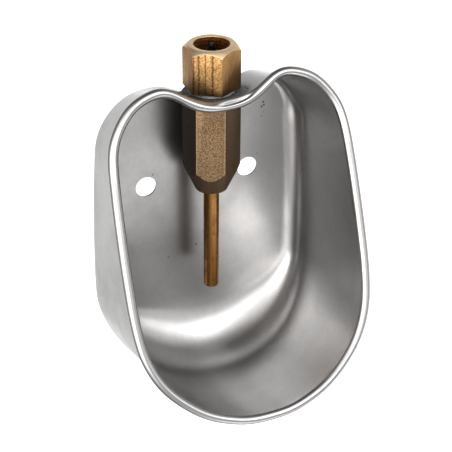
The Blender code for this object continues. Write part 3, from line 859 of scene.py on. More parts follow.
def hexagon_bar(name: str, bottom: float, top: float, turn: float) -> Mesh:
    """Upright hexagonal bar about the valve's axis.

    Args:
        name: the mesh's name.
        bottom: height of the lower end.
        top: height of the upper end.
        turn: angle of the first corner from +X, in radians.

    Returns:
        The closed mesh.
    """
    bm = bmesh.new()
    ring = []
    for k in range(6):
        angle = turn + math.pi * k / 3
        ring.append(bm.verts.new((HEXAGON_CORNER * math.cos(angle),
                                  AXIS_Y + HEXAGON_CORNER * math.sin(angle), bottom)))
    swept = bmesh.ops.extrude_face_region(bm, geom=[bm.faces.new(ring)])
    moved = [item for item in swept["geom"] if isinstance(item, bmesh.types.BMVert)]
    bmesh.ops.translate(bm, verts=moved, vec=(0, 0, top - bottom))
    return mesh_from(name, bm)


class Piece:
    def __init__(self, name: str, mesh: Mesh) -> None:
        """Link the piece's first mesh."""
        self.made = link_mesh(name, mesh)

    def combine(self, tool: Mesh, how: Cut) -> "Piece":
        """Cut the piece with a closed mesh, or join that mesh to it.

        Args:
            tool: the other solid.
            how: whether it is cut away, kept to or joined.

        Returns:
            The piece itself.
        """
        cutter = link_mesh(self.made.name + "_cutter", tool)
        modifier = self.made.modifiers.new("shape", "BOOLEAN")
        modifier.operation = how.value
        modifier.solver = "EXACT"
        modifier.object = cutter
        self.settle()
        bpy.data.objects.remove(cutter)
        return self

    def soften(self, width: float) -> "Piece":
        """Round the piece's edges.

        Args:
            width: the bevel's width.

        Returns:
            The piece itself.
        """
        modifier = self.made.modifiers.new("edges", "BEVEL")
        modifier.width = width
        modifier.segments = 3
        modifier.limit_method = "ANGLE"
        modifier.angle_limit = math.radians(16)
        modifier.miter_outer = "MITER_ARC"
        modifier.harden_normals = False
        self.settle()
        return self

    def settle(self) -> None:
        """Turn the evaluated shape into the piece's plain mesh and drop its modifiers."""
        view = bpy.context.evaluated_depsgraph_get()
        mesh = bpy.data.meshes.new_from_object(self.made.evaluated_get(view))
        mesh.name = self.made.name
        self.made.modifiers.clear()
        self.made.data = mesh

    def grow(self, tree: Tree, values: dict[str, object]) -> "Piece":
        """Run a Geometry Nodes tree and keep its result as the piece's plain mesh.

        Args:
            tree: the node tree.
            values: what each of its inputs gets, by name.

        Returns:
            The piece itself.
        """
        modifier = self.made.modifiers.new("shape", "NODES")
        modifier.node_group = tree
        for item in tree.interface.items_tree:
            if item.in_out == "INPUT":
                modifier[item.identifier] = values[item.name]
        self.settle()
        return self

    def dress(self, material: bpy.types.Material, body: Body, slot: Slot,
              nodes: tuple[str, ...] = ()) -> bpy.types.Object:
        """Give the piece its material and its body, and hide the CAD nodes that it stands for.

        Args:
            material: the finish.
            body: the body that it rides on.
            slot: the record's material slot; not used.
            nodes: CAD nodes that it replaces.

        Returns:
            The finished object.
        """
        mesh = self.made.data
        mesh.materials.clear()
        mesh.materials.append(material)
        mesh.shade_smooth()
        mesh.set_sharp_from_angle(angle=math.radians(40))
        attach(self.made, body.value)
        if nodes:
            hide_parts(*nodes)
        LOG.info("%s: %d faces", self.made.name, len(mesh.polygons))
        return self.made


def smooth_step(value: float, start: float, end: float) -> float:
    """Rise smoothly from 0 at start to 1 at end."""
    share = min(max((value - start) / (end - start), 0.0), 1.0)
    return share * share * (3 - 2 * share)


def even_curve(points: list[tuple[float, float]], count: int) -> list[Vector]:
    """Read evenly spaced points off a smooth curve.

    Args:
        points: (height, half width) points, the first and last on the middle line.
        count: how many points come back.

    Returns:
        Points along the curve, ends included.
    """
    first = (points[1][0], -points[1][1])
    last = (points[-2][0], -points[-2][1])
    padded = [Vector(p) for p in [first, *points, last]]
    dense = []
    steps = 32
    for k in range(1, len(padded) - 2):
        p0, p1, p2, p3 = padded[k - 1:k + 3]
        for step in range(steps):
            t = step / steps
            dense.append(0.5 * (2 * p1 + (p2 - p0) * t + (2 * p0 - 5 * p1 + 4 * p2 - p3) * t ** 2
                                + (3 * p1 - p0 - 3 * p2 + p3) * t ** 3))
    dense.append(padded[-2])
    lengths = [0.0]
    for a, b in zip(dense, dense[1:]):
        lengths.append(lengths[-1] + (b - a).length)
    result = []
    index = 0
    for k in range(count):
        wanted = lengths[-1] * k / (count - 1)
        while index < len(lengths) - 2 and lengths[index + 1] < wanted:
            index += 1
        share = (wanted - lengths[index]) / (lengths[index + 1] - lengths[index])
        result.append(dense[index].lerp(dense[index + 1], min(max(share, 0.0), 1.0)))
    return result


def fair_loop(loop: list[Vector], rounds: int) -> list[Vector]:
    """Even out the bends of a closed curve without shrinking it.

    Args:
        loop: evenly spaced points all round.
        rounds: how often the points are drawn together and let out again.

    Returns:
        The faired points.
    """
    for _ in range(rounds):
        for pull in (0.5, -0.52):
            after = loop[1:] + loop[:1]
            before = loop[-1:] + loop[:-1]
            loop = [p + ((a + b) / 2 - p) * pull for p, a, b in zip(loop, after, before)]
    return loop


@dataclass
class PressedBowl:
    """The pressed sheet: back plate, drawn walls, flat saddle seat and rolled bead."""

    sheet: float = 1.2 * MM
    plate_half_width: float = 65.6 * MM
    plate_top: float = 61.2 * MM
    plate_dip: float = 8.5 * MM
    plate_dip_right: float = 38.0 * MM
    plate_dip_left: float = 29.0 * MM
    plate_bottom: float = -121.5 * MM
    shoulder_radius: float = 39.0 * MM
    narrowing: float = 3.2 * MM
    side_bulge: float = 0.25
    back_fillet: float = 11.5 * MM
    saddle_fillet: float = 4.0 * MM
    floor_fillet: float = 28.0 * MM
    floor_fillet_start: float = 0.05
    saddle_top: float = 62.0 * MM
    seat_radius: float = 15.89 * MM
    seat_cut: float = 1.5 * MM
    seat_cut_way: float = math.radians(165)
    seat_reach: float = 3.2 * MM
    rim_depth: float = 65.0 * MM
    rim_lean: float = 0.384
    rim_top_retreat: float = 1.5 * MM
    rim_retreat: tuple[float, float] = (30.0 * MM, 62.0 * MM)
    rim_outline: tuple[tuple[float, float], ...] = (   # height and half width, in mm
        (61.0, 0.0), (61.9, 11.0), (65.6, 20.0), (72.1, 33.1), (69.2, 47.3), (61.9, 56.5),
        (49.3, 63.9), (28.5, 66.4), (-7.2, 67.4), (-33.8, 67.0), (-53.6, 63.8), (-70.8, 54.5),
        (-86.2, 36.8), (-94.2, 17.2), (-96.0, 0.0),
    )
    bead_radius: float = 2.7 * MM
    bead_wrap: float = math.radians(292)
    screw_hole_radius: float = 6.0 * MM
    screw_hole_spacing: float = 61.6 * MM
    stations: int = 264
    fillet_steps: int = 26
    wall_steps: int = 26
    bead_steps: int = 50
    plate_rings: int = 12
    fairing: int = 60
    dent: float = 0.04 * MM
    dent_scale: float = 32.0
    bead_waver: float = 0.25 * MM
    waver_scale: float = 40.0
    crushed_from: float = 55.8 * MM
    crease_x: float = 5.5 * MM
    crease_reach: float = 10.0 * MM
    crease_angle: float = math.radians(128)
    crease_slope: float = math.radians(14)
    crease_width: float = math.radians(22)
    crease_depth: float = 0.9 * MM
    crease_lift: float = 0.7 * MM
    crease_lift_span: tuple[float, float] = (0.6, 2.4)
    facet_x: float = -7.0 * MM
    facet_reach: float = 5.0 * MM
    facet_angle: float = math.radians(150)
    facet_depth: float = 0.35 * MM

    def plate_outline(self, dip_half_width: float) -> list[tuple[float, float]]:
        """Half outline of the sharp corner between plate and walls.

        Args:
            dip_half_width: how far the dip behind the valve reaches on this side.

        Returns:
            (height, half width) points from the top to the bottom.
        """
        radius = self.shoulder_radius
        width = self.plate_half_width - self.narrowing
        middle = (self.plate_top - radius, width - radius)
        points = []
        dip_steps = 4
        for k in range(dip_steps):
            share = k / dip_steps
            fall = self.plate_dip * (1 + math.cos(math.pi * share)) / 2
            points.append((self.plate_top - fall, dip_half_width * share))
        for degrees in (0.0, 22.5, 45.0, 67.5, 90.0):
            angle = math.radians(degrees)
            width = middle[1] + radius * math.sin(angle)
            if width > dip_half_width:
                points.append((middle[0] + radius * math.cos(angle), width))
        belly = self.plate_bottom + self.plate_half_width
        points.append(((middle[0] + belly) / 2,
                       self.plate_half_width - self.narrowing * self.side_bulge))
        for degrees in range(0, 91, 15):
            angle = math.radians(degrees)
            points.append((belly - self.plate_half_width * math.sin(angle),
                           self.plate_half_width * math.cos(angle)))
        return points

    def rim_distance(self, height: float) -> float:
        """Distance of the bead's centre from the wall at a height."""
        retreat = self.rim_top_retreat * smooth_step(height, *self.rim_retreat)
        return self.rim_depth - self.rim_lean * height - retreat

    def fillet_radius(self, height: float) -> float:
        """Fillet between plate and wall at a height of the plate's edge.

        Args:
            height: height of the plate's edge.

        Returns:
            The fillet's radius.
        """
        side = self.saddle_fillet + (self.back_fillet - self.saddle_fillet) * smooth_step(
            self.plate_top - height, 0.0, self.shoulder_radius)
        belly = self.plate_bottom + self.plate_half_width
        share = smooth_step(belly - height, self.floor_fillet_start * self.plate_half_width,
                            self.plate_half_width)
        return side + (self.floor_fillet - side) * share

    def section(self, corner: Vector, bead: Vector, inward: Vector, fillet: float, curl: float
                ) -> list[tuple[Vector, Vector]]:
        """Middle line of the sheet in one section.

        Args:
            corner: the sharp corner between plate and wall.
            bead: the centre of the rolled bead.
            inward: direction along the plate, away from the wall, as (x, z).
            fillet: fillet radius at the corner.
            curl: the bead's radius to the middle of the sheet.

        Returns:
            Points from the plate to the curl's end, each with its outward normal.
        """
        along = Vector((inward.x, 0.0, inward.y))
        depth = bead - corner
        depth = (depth - along * depth.dot(along)).normalized()
        target = Vector(((bead - corner).dot(along), (bead - corner).dot(depth)))
        reach = target.length
        heading = math.atan2(target.y, target.x) - math.asin(curl / reach)
        wall = Vector((math.cos(heading), math.sin(heading)))
        out = Vector((-wall.y, wall.x))
        trim = fillet / math.tan(heading / 2)
        pairs = []
        for k in range(self.fillet_steps + 1):
            angle = -math.pi / 2 - (math.pi - heading) * k / self.fillet_steps
            spoke = Vector((math.cos(angle), math.sin(angle)))
            pairs.append((Vector((trim, fillet)) + spoke * fillet, spoke))
        start = wall * trim
        tangent = wall * math.sqrt(reach ** 2 - curl ** 2)
        for k in range(1, self.wall_steps + 1):
            pairs.append((start.lerp(tangent, k / self.wall_steps), out))
        for k in range(1, self.bead_steps + 1):
            angle = self.bead_wrap * k / self.bead_steps
            spoke = -out * math.cos(angle) + wall * math.sin(angle)
            pairs.append((target + spoke * (curl - self.squashed(bead, angle)), -spoke))
        return [(corner + along * p.x + depth * p.y, along * n.x + depth * n.y) for p, n in pairs]

    def squashed(self, bead: Vector, angle: float) -> float:
        """How far the bead is pressed in where it passes under the socket.

        Args:
            bead: the bead's centre.
            angle: position round the bead, from the wall.

        Returns:
            The depth of the crease and the flat there, less the lift of the sheet's end.
        """
        if bead.z < self.crushed_from:
            return 0.0
        along = (bead.x - self.crease_x) / self.crease_reach
        turned = (angle - self.crease_angle - self.crease_slope * along) / self.crease_width
        crease = self.crease_depth * math.exp(-along ** 4 - turned ** 2)
        crease -= self.crease_lift * math.exp(-along ** 4) * smooth_step(turned, *self.crease_lift_span)
        beside = (bead.x - self.facet_x) / self.facet_reach
        flat = self.facet_depth * math.exp(-beside ** 2) * max(math.cos(angle - self.facet_angle), 0.0) ** 6
        return crease + flat

    def flatten_saddle(self, point: Vector, normal: Vector) -> tuple[Vector, Vector]:
        """Level the sheet round the valve, where the press forms a flat seat.

        Args:
            point: a point of the sheet's middle.
            normal: the sheet's outward normal there.

        Returns:
            The point and its normal, levelled near the valve.
        """
        middle = self.saddle_top - self.sheet / 2
        if point.z < middle - self.seat_reach - self.plate_dip:
            return point, normal
        radius = math.hypot(point.x, point.y - AXIS_Y)
        way = math.atan2(point.y - AXIS_Y, point.x)
        seat = self.seat_radius - self.seat_cut * max(math.cos(way - self.seat_cut_way), 0.0) ** 2
        share = 1 - smooth_step(radius, seat, seat + self.seat_reach)
        level = Vector((point.x, point.y, point.z + (middle - point.z) * share))
        return level, normal.lerp(Vector((0, 0, 1)), share).normalized()

    def dented(self, point: Vector, normal: Vector, share: float) -> Vector:
        """Push a point of the sheet in by a little, as pressing and handling leave it."""
        wave = 0.5 + 0.5 * noise.noise(point * self.dent_scale)
        return point - normal * (self.dent * wave * share)

    def mesh(self) -> Mesh:
        """Sections round the rim, skinned on both sides and closed by the plate.

        Returns:
            The bowl before its holes are punched.
        """
        half = self.stations // 2 + 1
        sides = [even_curve(self.plate_outline(reach), half)
                 for reach in (self.plate_dip_right, self.plate_dip_left)]
        plate = fair_loop(self.closed_loop(*sides), self.fairing)
        rim_points = [(height * MM, width * MM) for height, width in self.rim_outline]
        rim_half = even_curve(rim_points, half)
        rim = fair_loop(self.closed_loop(rim_half, rim_half), self.fairing)
        centre = Vector((0.0, (self.plate_top + self.plate_bottom) / 2))
        curl = self.bead_radius - self.sheet / 2
        bm = bmesh.new()
        insides = []
        outsides = []
        for k in range(self.stations):
            edge = (plate[(k + 1) % self.stations] - plate[k - 1]).normalized()
            inward = Vector((-edge.y, edge.x))
            if inward.dot(centre - plate[k]) < 0:
                inward = -inward
            shrink = plate[k] + inward * self.sheet / 2
            corner = Vector((shrink.x, -self.sheet / 2, shrink.y))
            wave = noise.noise(Vector((rim[k].x, 0, rim[k].y)) * self.waver_scale)
            waver = self.bead_waver * (0.5 + 0.5 * wave)
            pulled = rim[k] + (centre - rim[k]).normalized() * waver
            bead = Vector((pulled.x, -self.rim_distance(rim[k].y), pulled.y))
            line = self.section(corner, bead, inward, self.fillet_radius(plate[k].y), curl)
            inside, outside = self.plate_spokes(bm, line[0][0])
            wall_end = self.fillet_steps + self.wall_steps
            for index, (point, normal) in enumerate(line):
                if self.fillet_steps < index < wall_end:
                    point, normal = self.flatten_saddle(point, normal)
                share = smooth_step(index, 0, self.fillet_steps) * (1 - smooth_step(
                    index, wall_end - 4, wall_end + 2))
                point = self.dented(point, normal, share)
                outside.append(bm.verts.new(point + normal * self.sheet / 2))
                inside.append(bm.verts.new(point - normal * self.sheet / 2))
            insides.append(inside)
            outsides.append(outside)
        self.skin(bm, insides, outsides)
        return mesh_from("bowl_pressed_sheet", bm, weld=0.001 * MM)

    def plate_spokes(self, bm: bmesh.types.BMesh, border: Vector
                     ) -> tuple[list[bmesh.types.BMVert], list[bmesh.types.BMVert]]:
        """Points from the plate's middle line out to one point of its border, on both faces.

        Args:
            bm: the bowl's bmesh.
            border: the point of the border.

        Returns:
            The points on the inner face and those on the outer face.
        """
        low = self.plate_bottom + self.plate_half_width
        high = self.plate_top - self.shoulder_radius
        middle = Vector((0.0, border.y, min(max(border.z, low), high)))
        inside = []
        outside = []
        for ring in range(self.plate_rings):
            point = middle.lerp(border, ring / self.plate_rings)
            outside.append(bm.verts.new(point + Vector((0, self.sheet / 2, 0))))
            inside.append(bm.verts.new(point - Vector((0, self.sheet / 2, 0))))
        return inside, outside

    def skin(self, bm: bmesh.types.BMesh, insides: list, outsides: list) -> None:
        """Fill between neighbouring sections.

        Args:
            bm: the bowl's bmesh.
            insides: each section's inner points.
            outsides: each section's outer points.
        """
        steps = len(insides[0])
        for k in range(self.stations):
            j = (k + 1) % self.stations
            for i in range(steps - 1):
                bm.faces.new((insides[k][i], insides[k][i + 1], insides[j][i + 1], insides[j][i]))
                bm.faces.new((outsides[k][i], outsides[j][i], outsides[j][i + 1], outsides[k][i + 1]))
            bm.faces.new((insides[k][-1], outsides[k][-1], outsides[j][-1], insides[j][-1]))

    @staticmethod
    def closed_loop(right: list[Vector], left: list[Vector]) -> list[Vector]:
        """Join two half outlines of (height, half width) to (x, z) points all round."""
        return [Vector((p.y, p.x)) for p in right] + [Vector((-p.y, p.x)) for p in left[-2:0:-1]]

    @staticmethod
    def drilling(radius: float, low: float, high: float) -> Profile:
        """Outline of a plain round cutter."""
        return [(0, low), (radius, low), (radius, high), (0, high)]

    def build(self, finishes: Finishes) -> None:
        """Make the bowl, punch its holes and dress it.

        Args:
            finishes: the bowl's materials.
        """
        piece = Piece("bowl_pressed_sheet", self.mesh())
        reach = 4 * self.sheet
        for side in (-1, 1):
            drill = lathe("screw_hole", self.drilling(self.screw_hole_radius, -reach, reach), 72, 0.0)
            drill.transform(Matrix.Translation((side * self.screw_hole_spacing / 2, 0, 0))
                            @ Matrix.Rotation(math.radians(90), 4, "X"))
            piece.combine(drill, Cut.AWAY)
        profile = self.drilling(SPIGOT_HOLE, self.saddle_top - reach, self.saddle_top + reach)
        piece.combine(lathe("spigot_hole", profile, 96), Cut.AWAY)
        piece.dress(finishes.steel, Body.FIXED, Slot.STEEL, ("bowl_shell",))


@dataclass
class HelixPiece:
    """A wire or a thread's ridge that winds up the valve's axis, made by Geometry Nodes."""

    name: str
    radius: float
    bottom: float
    top: float
    turns: float
    wire: float
    sides: int
    closed: float
    steps_per_turn: int
    fade: float = 1e-4
    roll: float = 0.0
    axis_y: float = AXIS_Y

    def tree(self) -> Tree:
        """Build the node tree: a line of points is wound up, and a profile is swept along it.

        Returns:
            The node tree.
        """
        numbers = ("Radius", "Bottom", "Top", "Turns", "Wire", "Closed", "Fade", "Axis Y", "Roll")
        graph = ShapeTree(self.name + "_winding",
                          {**dict.fromkeys(numbers, "Float"), "Points": "Int", "Sides": "Int"})
        given = graph.given
        line = graph.node("GeometryNodeCurvePrimitiveLine", End=(0.0, 0.0, 1.0))
        dense = graph.node("GeometryNodeResampleCurve", Curve=line.outputs[0], Count=given["Points"])
        share = graph.node("GeometryNodeSplineParameter").outputs["Factor"]
        turn = graph.maths("MULTIPLY", share, given["Turns"])
        angle = graph.maths("MULTIPLY", turn, 2 * math.pi)
        last = graph.maths("SUBTRACT", turn, graph.maths("SUBTRACT", given["Turns"], 1.0))
        end_turns = graph.maths("ADD", graph.maths("MINIMUM", turn, 1.0),
                                graph.maths("MAXIMUM", last, 0.0))
        flat = graph.maths("MULTIPLY", end_turns, given["Closed"])
        free = graph.maths("SUBTRACT", graph.maths("SUBTRACT", given["Top"], given["Bottom"]),
                           graph.maths("MULTIPLY", given["Closed"], 2.0))
        pitch = graph.maths("DIVIDE", free, graph.maths("SUBTRACT", given["Turns"], 2.0))
        climb = graph.maths("MULTIPLY_ADD", graph.maths("SUBTRACT", turn, end_turns), pitch, flat)
        place = graph.node(
            "ShaderNodeCombineXYZ",
            X=graph.maths("MULTIPLY", graph.maths("COSINE", angle), given["Radius"]),
            Y=graph.maths("MULTIPLY_ADD", graph.maths("SINE", angle), given["Radius"], given["Axis Y"]),
            Z=graph.maths("ADD", climb, given["Bottom"]))
        wound = graph.node("GeometryNodeSetPosition", Geometry=dense.outputs[0], Position=place.outputs[0])
        upright = graph.node("GeometryNodeSetCurveNormal", {"mode": "Z_UP"}, Curve=wound.outputs[0])
        to_end = graph.maths("DIVIDE", graph.maths("SUBTRACT", given["Turns"], turn), given["Fade"])
        from_start = graph.maths("DIVIDE", turn, given["Fade"])
        size = graph.maths("MAXIMUM", graph.maths("MINIMUM", graph.maths(
            "MINIMUM", to_end, from_start), 1.0), 0.02)
        ring = graph.node("GeometryNodeCurvePrimitiveCircle", Resolution=given["Sides"],
                          Radius=given["Wire"])
        roll = graph.node("ShaderNodeCombineXYZ", Z=given["Roll"])
        rolled = graph.node("GeometryNodeTransform", Geometry=ring.outputs[0], Rotation=roll.outputs[0])
        swept = graph.node("GeometryNodeCurveToMesh", Curve=upright.outputs[0],
                           Profile_Curve=rolled.outputs[0], Scale=size, Fill_Caps=True)
        return graph.close(swept.outputs[0])

    def piece(self, material: bpy.types.Material) -> Piece:
        """Run the tree and return its result as a plain mesh."""
        return Piece(self.name, bpy.data.meshes.new(self.name)).grow(self.tree(), {
            "Radius": self.radius, "Bottom": self.bottom, "Top": self.top, "Turns": self.turns,
            "Wire": self.wire, "Closed": self.closed, "Fade": self.fade, "Axis Y": self.axis_y,
            "Roll": self.roll, "Points": int(self.turns * self.steps_per_turn) + 1,
            "Sides": self.sides, "Material": material,
        })


@dataclass
class InletSocket:
    """The hexagonal female socket above the sheet, with its pipe thread."""

    turn: float = math.radians(-32.8)
    face_radius: float = 12.45 * MM
    chamfer: float = math.radians(43)
    crest_radius: float = 9.32 * MM
    root_radius: float = 10.48 * MM
    mouth_radius: float = 9.5 * MM
    pitch: float = 1.814 * MM
    ridge: float = 0.98 * MM
    fade: float = 0.35
    relief: float = SPIGOT_TOP + 2.0 * MM
    edge: float = 0.34 * MM
    lead: float = 0.3 * MM
    lip: float = 0.9 * MM

    def build(self, finishes: Finishes) -> None:
        """Make the socket and the thread in it.

        Args:
            finishes: the bowl's materials.
        """
        low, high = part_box("inlet_socket")
        bottom, top = low.z, high.z
        piece = Piece("inlet_socket_hexagon", hexagon_bar("socket", bottom, top, self.turn))
        wide = HEXAGON_CORNER + MARGIN
        fall = (wide - self.face_radius) * math.tan(self.chamfer)
        piece.combine(lathe("turning", [
            (0, bottom - MARGIN), (wide, bottom - MARGIN), (wide, top - fall), (self.face_radius, top),
            (self.face_radius, top + MARGIN), (0, top + MARGIN)], 192), Cut.TO_SHAPE)
        lead = self.mouth_radius + self.lead
        piece.combine(lathe("bore", [
            (0, bottom - MARGIN), (SPIGOT_HOLE, bottom - MARGIN), (SPIGOT_HOLE, self.relief),
            (self.root_radius, self.relief), (self.root_radius, top - 1.6 * self.lip),
            (self.mouth_radius, top - self.lip), (self.mouth_radius, top - self.lead), (lead, top),
            (lead, top + MARGIN), (0, top + MARGIN)], 128), Cut.AWAY)
        piece.soften(self.edge)
        piece.dress(finishes.socket, Body.FIXED, Slot.BRASS, ("inlet_socket",))
        length = top - self.lip - self.relief
        thread = HelixPiece("inlet_thread_ridge", radius=self.crest_radius + self.ridge,
                            bottom=self.relief + 0.4 * MM, top=top - self.lip,
                            turns=length / self.pitch, wire=self.ridge, sides=3, closed=self.pitch,
                            steps_per_turn=72, fade=self.fade, roll=math.pi)
        thread.piece(finishes.thread).dress(finishes.thread, Body.FIXED, Slot.BRASS)


@dataclass
class ValveBody:
    """The hexagonal body under the sheet, with its turned nose and its spigot."""

    turn: float = math.radians(-24.9)
    top: float = 58.8 * MM
    cone_top: float = 18.4 * MM
    nose_end: float = 3.6 * MM
    nose_radius: float = 9.2 * MM
    nose_edge: float = 1.0 * MM
    spigot_radius: float = 10.4 * MM
    spigot_edge: float = 0.8 * MM
    chamber_radius: float = 8.0 * MM
    chamber_floor: float = 17.1 * MM
    shoulder: float = 49.0 * MM
    retainer_radius: float = 8.5 * MM
    outlet_top: float = 5.0 * MM
    outlet_end: float = 6.9 * MM
    edge: float = 0.35 * MM

    def build(self, finishes: Finishes) -> None:
        """Turn the bar's ends, bore it and dress it.

        Args:
            finishes: the bowl's materials.
        """
        piece = Piece("valve_body_hexagon", hexagon_bar("body", self.nose_end, self.top, self.turn))
        wide = HEXAGON_CORNER + MARGIN
        slope = (HEXAGON_CORNER - self.nose_radius) / (self.cone_top - self.nose_end - self.nose_edge)
        face = HEXAGON / 2 - 0.2 * MM
        fall = (wide - face) * math.tan(math.radians(30))
        bend = 0.3 * self.nose_edge
        piece.combine(lathe("turning", [
            (0, self.nose_end), (self.nose_radius - self.nose_edge, self.nose_end),
            (self.nose_radius - bend, self.nose_end + bend),
            (self.nose_radius, self.nose_end + self.nose_edge), (wide, self.cone_top + MARGIN / slope),
            (wide, self.top - fall), (face, self.top), (0, self.top)], 192), Cut.TO_SHAPE)
        piece.combine(lathe("spigot", [
            (0, self.top - MARGIN), (self.spigot_radius, self.top - MARGIN),
            (self.spigot_radius, SPIGOT_TOP - self.spigot_edge),
            (self.spigot_radius - self.spigot_edge, SPIGOT_TOP), (0, SPIGOT_TOP)], 96), Cut.JOIN)
        piece.combine(lathe("bore", [
            (0, self.nose_end - MARGIN), (self.outlet_end, self.nose_end - MARGIN),
            (self.outlet_end, self.nose_end), (self.outlet_top, self.chamber_floor),
            (self.chamber_radius, self.chamber_floor), (self.chamber_radius, self.shoulder),
            (self.retainer_radius, self.shoulder), (self.retainer_radius, SPIGOT_TOP + MARGIN),
            (0, SPIGOT_TOP + MARGIN)], 96), Cut.AWAY)
        piece.soften(self.edge)
        piece.dress(finishes.body, Body.FIXED, Slot.BRASS, ("valve_body",))


@dataclass
class PushRod:
    """The round rod that hangs out of the nose, with its domed head on the seat."""

    pivot_z: float = 20.0 * MM
    radius: float = 4.25 * MM
    end_z: float = -59.8 * MM
    end_chamfer: float = 0.6 * MM
    contact_radius: float = 5.2 * MM
    head_radius: float = 6.6 * MM
    relief: float = math.radians(7)
    dome_radius: float = 7.0 * MM
    crown_radius: float = 3.0 * MM
    dome_steps: int = 10
    edge: float = 0.3 * MM

    def build(self, finishes: Finishes) -> None:
        """Turn the rod.

        Args:
            finishes: the bowl's materials.
        """
        rise = (self.head_radius - self.contact_radius) * math.tan(self.relief)
        profile = [(0, self.end_z), (self.radius - self.end_chamfer, self.end_z),
                   (self.radius, self.end_z + self.end_chamfer), (self.radius, self.pivot_z),
                   (self.contact_radius, self.pivot_z), (self.head_radius, self.pivot_z + rise)]
        start = math.acos(self.head_radius / self.dome_radius)
        end = math.acos(self.crown_radius / self.dome_radius)
        for k in range(self.dome_steps + 1):
            angle = start + (end - start) * k / self.dome_steps
            profile.append((self.dome_radius * math.cos(angle),
                            self.pivot_z + self.dome_radius * math.sin(angle)))
        profile.append((0, profile[-1][1]))
        piece = Piece("push_rod_turned", lathe("push_rod_turned", rounded(profile, self.edge), 96))
        piece.dress(finishes.rod, Body.ROD, Slot.BRASS, ("push_rod",))


@dataclass
class ClampedRings:
    """The washer above the sheet and the gasket below it."""

    edge: float = 0.3 * MM

    def ring(self, node: str, name: str) -> Piece:
        """Turn a ring to the size of its CAD node.

        Args:
            node: the CAD node.
            name: the new piece's name.

        Returns:
            The ring.
        """
        low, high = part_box(node)
        outer = (high.x - low.x) / 2
        profile = [(SPIGOT_HOLE, low.z), (outer, low.z), (outer, high.z), (SPIGOT_HOLE, high.z)]
        return Piece(name, lathe(name, rounded(profile, self.edge), 96))

    def build(self, finishes: Finishes) -> None:
        """Make both rings."""
        self.ring("socket_washer", "socket_fibre_washer").dress(
            finishes.fibre, Body.FIXED, Slot.FIBRE, ("socket_washer",))
        self.ring("body_gasket", "body_rubber_gasket").dress(
            finishes.rubber, Body.FIXED, Slot.RUBBER, ("body_gasket",))


@dataclass
class InletStrainer:
    """The ribbed cone that stands in the socket's mouth."""

    flange_radius: float = 8.9 * MM
    flange: float = 1.2 * MM
    base_radius: float = 5.0 * MM
    tip_radius: float = 1.1 * MM
    wall: float = 0.8 * MM
    inset: float = 0.35 * MM
    ribs: int = 12
    rib_radius: float = 0.28 * MM

    @staticmethod
    def rib_tree() -> Tree:
        """Node tree that sets ribs round the cone.

        Returns:
            The node tree.
        """
        graph = ShapeTree("strainer_ribs", {"Ribs": "Int", "Rib Radius": "Float", "Foot": "Vector",
                                            "Tip": "Vector", "Centre": "Vector"})
        given = graph.given
        line = graph.node("GeometryNodeCurvePrimitiveLine", Start=given["Foot"], End=given["Tip"])
        ring = graph.node("GeometryNodeCurvePrimitiveCircle", Resolution=8, Radius=given["Rib Radius"])
        rib = graph.node("GeometryNodeCurveToMesh", Curve=line.outputs[0],
                         Profile_Curve=ring.outputs[0], Fill_Caps=True)
        points = graph.node("GeometryNodePoints", Count=given["Ribs"], Position=given["Centre"])
        index = graph.node("GeometryNodeInputIndex").outputs[0]
        angle = graph.maths("DIVIDE", graph.maths("MULTIPLY", index, 2 * math.pi), given["Ribs"])
        turn = graph.node("ShaderNodeCombineXYZ", Z=angle)
        copies = graph.node("GeometryNodeInstanceOnPoints", Points=points.outputs[0],
                            Instance=rib.outputs[0], Rotation=turn.outputs[0])
        return graph.close(copies.outputs[0])

    def build(self, finishes: Finishes) -> None:
        """Make the cone on its flange, then its ribs.

        Args:
            finishes: the bowl's materials.
        """
        low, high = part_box("inlet_strainer")
        bottom, tip = low.z, high.z
        shoulder = bottom + self.flange
        base, point = self.base_radius - self.inset, self.tip_radius - self.inset
        ceiling = tip - 2 * self.wall
        profile = [(self.base_radius - self.wall, bottom), (self.flange_radius, bottom),
                   (self.flange_radius, shoulder), (base, shoulder), (point, tip - self.inset),
                   (0, tip - self.inset), (0, ceiling), (point - 0.4 * self.wall, ceiling)]
        cone = Piece("inlet_strainer_cone", lathe("cone", profile, 72))
        cone.dress(finishes.plastic, Body.FIXED, Slot.PLASTIC, ("inlet_strainer",))
        ribs = Piece("inlet_strainer_ribs", bpy.data.meshes.new("ribs")).grow(self.rib_tree(), {
            "Ribs": self.ribs, "Rib Radius": self.rib_radius, "Foot": (base, 0.0, shoulder),
            "Tip": (point, 0.0, tip - self.rib_radius), "Centre": (0.0, AXIS_Y, 0.0),
            "Material": finishes.plastic,
        })
        ribs.dress(finishes.plastic, Body.FIXED, Slot.PLASTIC)


@dataclass
class SpringTrain:
    """The spring and the small pieces inside the body."""

    wire: float = 0.55 * MM
    radius: float = 5.4 * MM
    turns: float = 6.5
    kept_share: float = 0.84

    def build(self, finishes: Finishes) -> None:
        """Wind the spring at its length in the CAD model, and finish the pieces beside it; in the valve,
        the rod's lift shortens it.

        Args:
            finishes: the bowl's materials.
        """
        low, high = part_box("valve_spring")
        coil = HelixPiece("valve_spring_coil", radius=self.radius, bottom=low.z + self.wire,
                          top=high.z - self.wire, turns=self.turns, wire=self.wire, sides=12,
                          closed=2.3 * self.wire, steps_per_turn=36)
        spring = coil.piece(finishes.spring).dress(finishes.spring, Body.FIXED, Slot.SPRING,
                                                   ("valve_spring",))
        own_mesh(spring)
        for node, material in (("seat_seal", finishes.rubber), ("spring_cup", finishes.inner_brass),
                               ("spring_washer", finishes.spring),
                               ("spring_retainer", finishes.inner_brass)):
            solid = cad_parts[node]
            solid.data.materials.clear()
            solid.data.materials.append(material)
            LOG.info("%s: CAD solid, %s", node, material.name)


